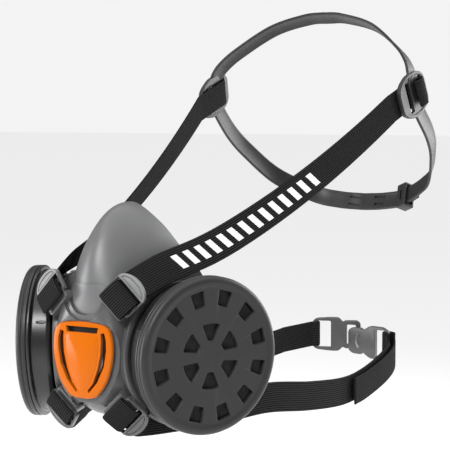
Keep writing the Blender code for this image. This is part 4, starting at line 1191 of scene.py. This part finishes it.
@dataclass
class Cradle:
    """Head cradle: crown band, slotted pads and two overlapping rear bands with a keeper."""

    band_width: float = 13.5
    band_thickness: float = 2.0
    crown: tuple = ((79.6, 216, 138), (78.5, 217, 145), (74.5, 221, 153), (64.5, 227, 163), (41, 236.5, 179),
                    (15, 240, 186.4), (0, 240.5, 187.3))
    tail: tuple = ((80.9, 221, 125), (81.3, 226, 119), (81.2, 243, 104), (76.5, 259, 90), (63, 281, 70),
                   (38, 296.5, 56.5), (19, 300.5, 52.6), (0, 301.5, 51.4))
    tail_ends: tuple = (3.0, 52.0)
    keeper_x: float = 37.0

    def band_section(self) -> np.ndarray:
        """Band section: rounded edges that stand 0.25 mm proud of a flat middle."""
        half, thick = self.band_width / 2, self.band_thickness / 2
        face = [(-half, 0.0), (-half + 0.1, thick * 0.6), (-half + 0.5, thick * 0.95), (-half + 1.1, thick),
                (-half + 1.7, thick * 0.92), (-half + 2.2, thick * 0.75)]
        face += [(-x, y) for x, y in face[::-1]]
        face = np.array(face)
        return np.concatenate([face, -face[1:-1]])

    def crown_band(self) -> Shape:
        """Band over the crown, from pad to pad."""
        half = smooth_path(self.crown, 12)
        path = np.concatenate([half, half[::-1][1:] * (-1, 1, 1)])
        directions = turned_directions((0, 0.97, -0.2), (0, 0.87, -0.5), len(half))
        return sweep(path, np.concatenate([directions, directions[::-1][1:]]), self.band_section())

    def rear_band(self, side: Side) -> Shape:
        """One rear band; the left one steps inwards and the right one outwards where they overlap."""
        half = smooth_path(self.tail, 12)
        full = np.concatenate([half, half[::-1][1:] * (-1, 1, 1)])
        inner_end, outer_end = self.tail_ends
        if side is Side.LEFT:
            path = full[full[:, 0] > inner_end]
            ramp = np.clip((outer_end + 14 - path[:, 0]) / 10, 0, 1)
        else:
            path = full[::-1]
            path = path[path[:, 0] < outer_end]
            ramp = np.clip((path[:, 0] - inner_end + 14) / 10, 0, 1)
        ramp = ramp * ramp * (3 - 2 * ramp)
        radial = path - np.array([0.0, 190.0, 100.0])
        radial[:, 2] = 0
        path = path - side.value * unit(radial) * (ramp * (self.band_thickness / 2 + 0.25))[:, None]
        t = np.clip((self.tail[-1][1] - path[:, 1:2]) / 75, 0, 1)
        widths = unit((1 - t) * np.array(BACK_UP) + t * np.array([0.0, 0.65, 0.75]))
        return sweep(path, widths, self.band_section())

    def pad(self) -> Shape:
        """Pad plate with a raised rim 2.6 mm wide round a field sunk by 0.6 mm."""
        outline = rounded([(-20, -8), (-20, 8), (-14.5, 12), (-5, 15), (8, 15), (16.5, 12), (20, 8), (20, -8),
                           (16.5, -12), (6, -15), (-6, -15), (-14.5, -12)], 3.0)
        stations = [(0.7, -1.2), (0.2, -1.05), (0.0, -0.6), (0.0, 1.1), (0.2, 1.55), (0.7, 1.8), (1.8, 1.8),
                    (2.3, 1.6), (2.6, 1.2)]
        return loft(outline, stations)

    def pad_cuts(self) -> Shape:
        """Cutters of the pad's front window and rear slot."""
        shapes = []
        for low, high in ((-9.5, -3.5), (11.0, 15.0)):
            slot = [(low, -10.6), (high, -10.6), (high, 10.6), (low, 10.6)]
            shapes.append(plate(slot, -4, 6, 1.0, 0.1))
        return shapes[0].joined(*shapes[1:])

    def teeth(self) -> Shape:
        """Row of small grips on the pad's middle bar, beside the rear slot."""
        shapes = []
        for place in np.linspace(-9, 9, 10):
            tooth = [(8.6, place - 0.55), (10.8, place - 0.55), (10.8, place + 0.55), (8.6, place + 0.55)]
            shapes.append(plate(tooth, 0.6, 1.9, 0.3, 0.2))
        return shapes[0].joined(*shapes[1:])

    def band_slits(self) -> Shape:
        """Cutters of four slits, two by two, in the overlapping rear bands."""
        half = smooth_path(self.tail, 12)
        full = np.concatenate([half, half[::-1][1:] * (-1, 1, 1)])
        shapes = []
        for x, floor in ((-6.8, -0.55), (15.2, 0.6)):
            index = int(np.argmin(np.abs(full[:, 0] - x)))
            along = unit(full[index - 1] - full[index + 1])
            place = axes(full[index], along, BACK_UP)
            for low, high in ((-3.8, -2.0), (2.0, 3.8)):
                slot = [(-4.8, low), (4.8, low), (4.8, high), (-4.8, high)]
                shapes.append(plate(slot, floor, 6, 0.8, 0.05).placed(place))
        return shapes[0].joined(*shapes[1:])

    def keeper(self) -> bpy.types.Object:
        """Sleeve round both rear bands, with a small window."""
        half = smooth_path(self.tail, 8)
        index = int(np.argmin(np.abs(half[:, 0] - self.keeper_x)))
        place = axes(half[index], unit(half[index - 1] - half[index + 1]), BACK_UP)
        high, deep = self.band_width / 2 + 0.9, self.band_thickness + 1.05
        outer = [(-5, -high - 1.7), (5, -high - 1.7), (5, high + 1.7), (-5, high + 1.7)]
        sleeve = write("band_keeper_sleeve", plate(outer, -deep - 1.5, deep + 1.5, 1.2, 0.7).placed(place))
        inner = [(-9, -high), (9, -high), (9, high), (-9, high)]
        combine(sleeve, plate(inner, -deep, deep, 0.6, 0.3).placed(place), Operation.CUT)
        window = [(-1.0, -4), (1.0, -4), (1.0, 4), (-1.0, 4)]
        combine(sleeve, plate(window, deep - 0.5, deep + 3, 0.6, 0.05).placed(place), Operation.CUT)
        return sleeve

    def build(self) -> None:
        """Make the bands and pads of the cradle, and its keeper."""
        finish = CRADLE_PLASTIC.material()
        crown = write("crown_band", self.crown_band(), 50)
        settle(crown, "harness", finish, ["head_cradle"])
        for side in Side:
            pad = write(f"cradle_pad_{side.label}", self.pad().placed(pad_frame(side)), 45)
            combine(pad, self.teeth().placed(pad_frame(side)), Operation.ADD, 45)
            combine(pad, self.pad_cuts().placed(pad_frame(side)), Operation.CUT, 45)
            settle(pad, "harness", finish)
            band = write(f"rear_band_{side.label}", self.rear_band(side), 50)
            combine(band, self.band_slits(), Operation.CUT, 50)
            settle(band, "harness", finish)
        settle(self.keeper(), "keeper", finish, ["band_keeper"])


# ---------------------------------------------------------------- clasp


@dataclass
class Clasp:
    """Neck clasp: a loop half and a hook half, each threaded by a strap."""

    slot_reach: float = 10.1

    def half(self, name: str, place: np.ndarray, outline: Outline, holes: Sequence[tuple],
             material: bpy.types.Material, body: str, lip: Optional[Shape] = None) -> None:
        """Make one half.

        Args:
            name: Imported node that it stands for.
            place: Frame of the half.
            outline: Plate outline.
            holes: Hole outlines.
            material: Finish.
            body: Body that it rides on.
            lip: Shape joined to the plate before it is pierced.
        """
        piece = write(f"{name}_plate", plate(outline, -1.5, 1.5, 2.0, 0.7).placed(place))
        if lip is not None:
            combine(piece, lip.placed(place), Operation.ADD)
        for hole in holes:
            combine(piece, plate(hole, -5, 5, 1.2, 0.05).placed(place), Operation.CUT)
        settle(piece, body, material, [name])

    def build(self) -> None:
        """Make both halves."""
        material = CLASP_PLASTIC.material()
        reach = self.slot_reach
        outline = [(19.5, -8), (16, -12), (5, -13), (-2, -13), (-5, -9.6), (-7, -10.8), (-16, -11),
                   (-18.8, -9), (-18.8, 9), (-16, 11), (-7, 10.8), (-5, 9.6), (-2, 13), (5, 13), (16, 12),
                   (19.5, 8)]
        holes = [box_outline(4.0, 15.0, reach), box_outline(-15.3, -8.2, 7.6)]
        self.half("buckle_loop_half", clasp_frame(LOOP_PLACE), outline, holes, material, "neck")
        outline = [(21, -7.5), (17, -10), (9, -10.2), (6.5, -8.6), (4.5, -10), (0, -12.4), (-12, -12.4),
                   (-17.7, -9.5), (-17.7, 9.5), (-12, 12.4), (0, 12.4), (4.5, 10), (6.5, 8.6), (9, 10.2),
                   (17, 10), (21, 7.5)]
        lip = plate([(19.3, -3.2), (20.8, -3.2), (20.8, 6.9), (19.3, 6.9)], 0.2, 6.4, 0.4, 0.35)
        curved = np.radians(np.linspace(-50, 50, 9))
        arc = np.column_stack([np.cos(curved), np.sin(curved)])
        window = np.concatenate([arc * 8.4, arc[::-1] * 6.2]) + (6.0, 0.0)
        holes = [box_outline(-14.3, -5.0, reach), window]
        self.half("buckle_hook_half", clasp_frame(HOOK_PLACE), outline, holes, material, "hook", lip)


def box_outline(low: float, high: float, reach: float) -> list:
    """Rectangle from low to high along, and reach to each side."""
    return [(low, -reach), (high, -reach), (high, reach), (low, reach)]


# ---------------------------------------------------------------- studio


@dataclass
class Studio:
    """Pale floor, soft lights, the world and the camera."""

    target: tuple = (73.57, -20.0, 55.83)
    distance: float = 900.0
    azimuth: float = 31.42
    elevation: float = 4.065
    lens: float = 127.36
    floor_drop: float = 300.0
    ambient: float = 0.18
    backdrop: float = 0.90

    def camera(self) -> None:
        """Place the camera on a ray from the target at its azimuth and elevation."""
        azimuth, elevation = math.radians(self.azimuth), math.radians(self.elevation)
        back = Vector((math.sin(azimuth) * math.cos(elevation), -math.cos(azimuth) * math.cos(elevation),
                       math.sin(elevation)))
        data = bpy.data.cameras.new("view_camera")
        data.lens = self.lens
        data.sensor_width = 36.0
        data.clip_end = 50.0
        camera = bpy.data.objects.new("view_camera", data)
        camera.location = (Vector(self.target) + back * self.distance) * MM
        camera.rotation_euler = back.to_track_quat("Z", "Y").to_euler()
        bpy.context.scene.collection.objects.link(camera)
        bpy.context.scene.camera = camera

    def light(self, name: str, place: tuple, size: float, power: float) -> None:
        """Hang a square area light, aimed at the target; place and size are in metres."""
        data = bpy.data.lights.new(name, "AREA")
        data.energy = power
        data.size = size
        lamp = bpy.data.objects.new(name, data)
        lamp.location = place
        aim = Vector(place) - Vector(self.target) * MM
        lamp.rotation_euler = aim.to_track_quat("Z", "Y").to_euler()
        bpy.context.scene.collection.objects.link(lamp)

    def lay_floor(self) -> None:
        """Lay a flat floor that runs far out on every side, well under the object."""
        low = min(corner[2] for corner in CAD_BOX) - self.floor_drop * MM
        span = 30.0
        mesh = bpy.data.meshes.new("studio_floor")
        mesh.from_pydata([(-span, -span, low), (span, -span, low), (span, span, low), (-span, span, low)], [],
                         [(0, 1, 2, 3)])
        floor = bpy.data.objects.new("studio_floor", mesh)
        bpy.context.scene.collection.objects.link(floor)
        paint = Paint("pale_floor")
        cloud = paint.noise(paint.place(), 900.0, 1.0)
        paint.put(Base_Color=paint.mix(cloud, (0.955, 0.955, 0.955), (0.965, 0.965, 0.965)), Roughness=0.9)
        mesh.materials.append(paint.material)

    def build(self) -> None:
        """Set up the world, lights, floor and camera; the world is brighter to the camera than as a light."""
        world = bpy.data.worlds.new("studio")
        world.use_nodes = True
        tree = world.node_tree
        ray = tree.nodes.new("ShaderNodeLightPath")
        strength = tree.nodes.new("ShaderNodeMapRange")
        strength.inputs["To Min"].default_value = self.ambient
        strength.inputs["To Max"].default_value = self.backdrop
        tree.links.new(ray.outputs["Is Camera Ray"], strength.inputs["Value"])
        background = tree.nodes["Background"]
        background.inputs["Color"].default_value = (1.0, 1.0, 1.0, 1.0)
        tree.links.new(strength.outputs["Result"], background.inputs["Strength"])
        bpy.context.scene.world = world
        bpy.context.scene.view_settings.view_transform = "Standard"
        self.light("left_box", (-1.2, -0.75, 0.10), 0.7, 16.0)
        self.light("back_box", (0.75, 1.3, 0.4), 1.2, 27.0)
        self.light("ridge_box", (0.22, -1.15, 0.9), 0.45, 19.0)
        data = bpy.data.lights.new("overhead", "SUN")
        data.energy = 2.3
        data.angle = math.radians(80)
        bpy.context.scene.collection.objects.link(bpy.data.objects.new("overhead", data))
        self.lay_floor()
        self.camera()


# ---------------------------------------------------------------- assembly


def main() -> None:
    """Build every sub-assembly in order."""
    logging.basicConfig(level=logging.INFO, format="%(message)s")
    Studio().build()
    cup = FaceCup()
    cup.build()
    Saddle(cup).build()
    ValveCover().build()
    webbing, hatched = Webbing("webbing").material(), Webbing("webbing_hatched", hatched=True).material()
    seat, flap = VALVE_PLASTIC.material(), VALVE_SILICONE.material()
    dress_node("exhale_valve_seat", seat)
    dress_node("exhale_flap", flap)
    for side in Side:
        Cartridge(side).build()
        HeadStrap(side).build(hatched)
        NeckStrap(side).build(webbing)
        dress_node(f"inhale_valve_seat_{side.label}", seat)
        dress_node(f"inhale_flap_{side.label}", flap)
    Cradle().build()
    Clasp().build()


if __name__ == "__main__":
    main()
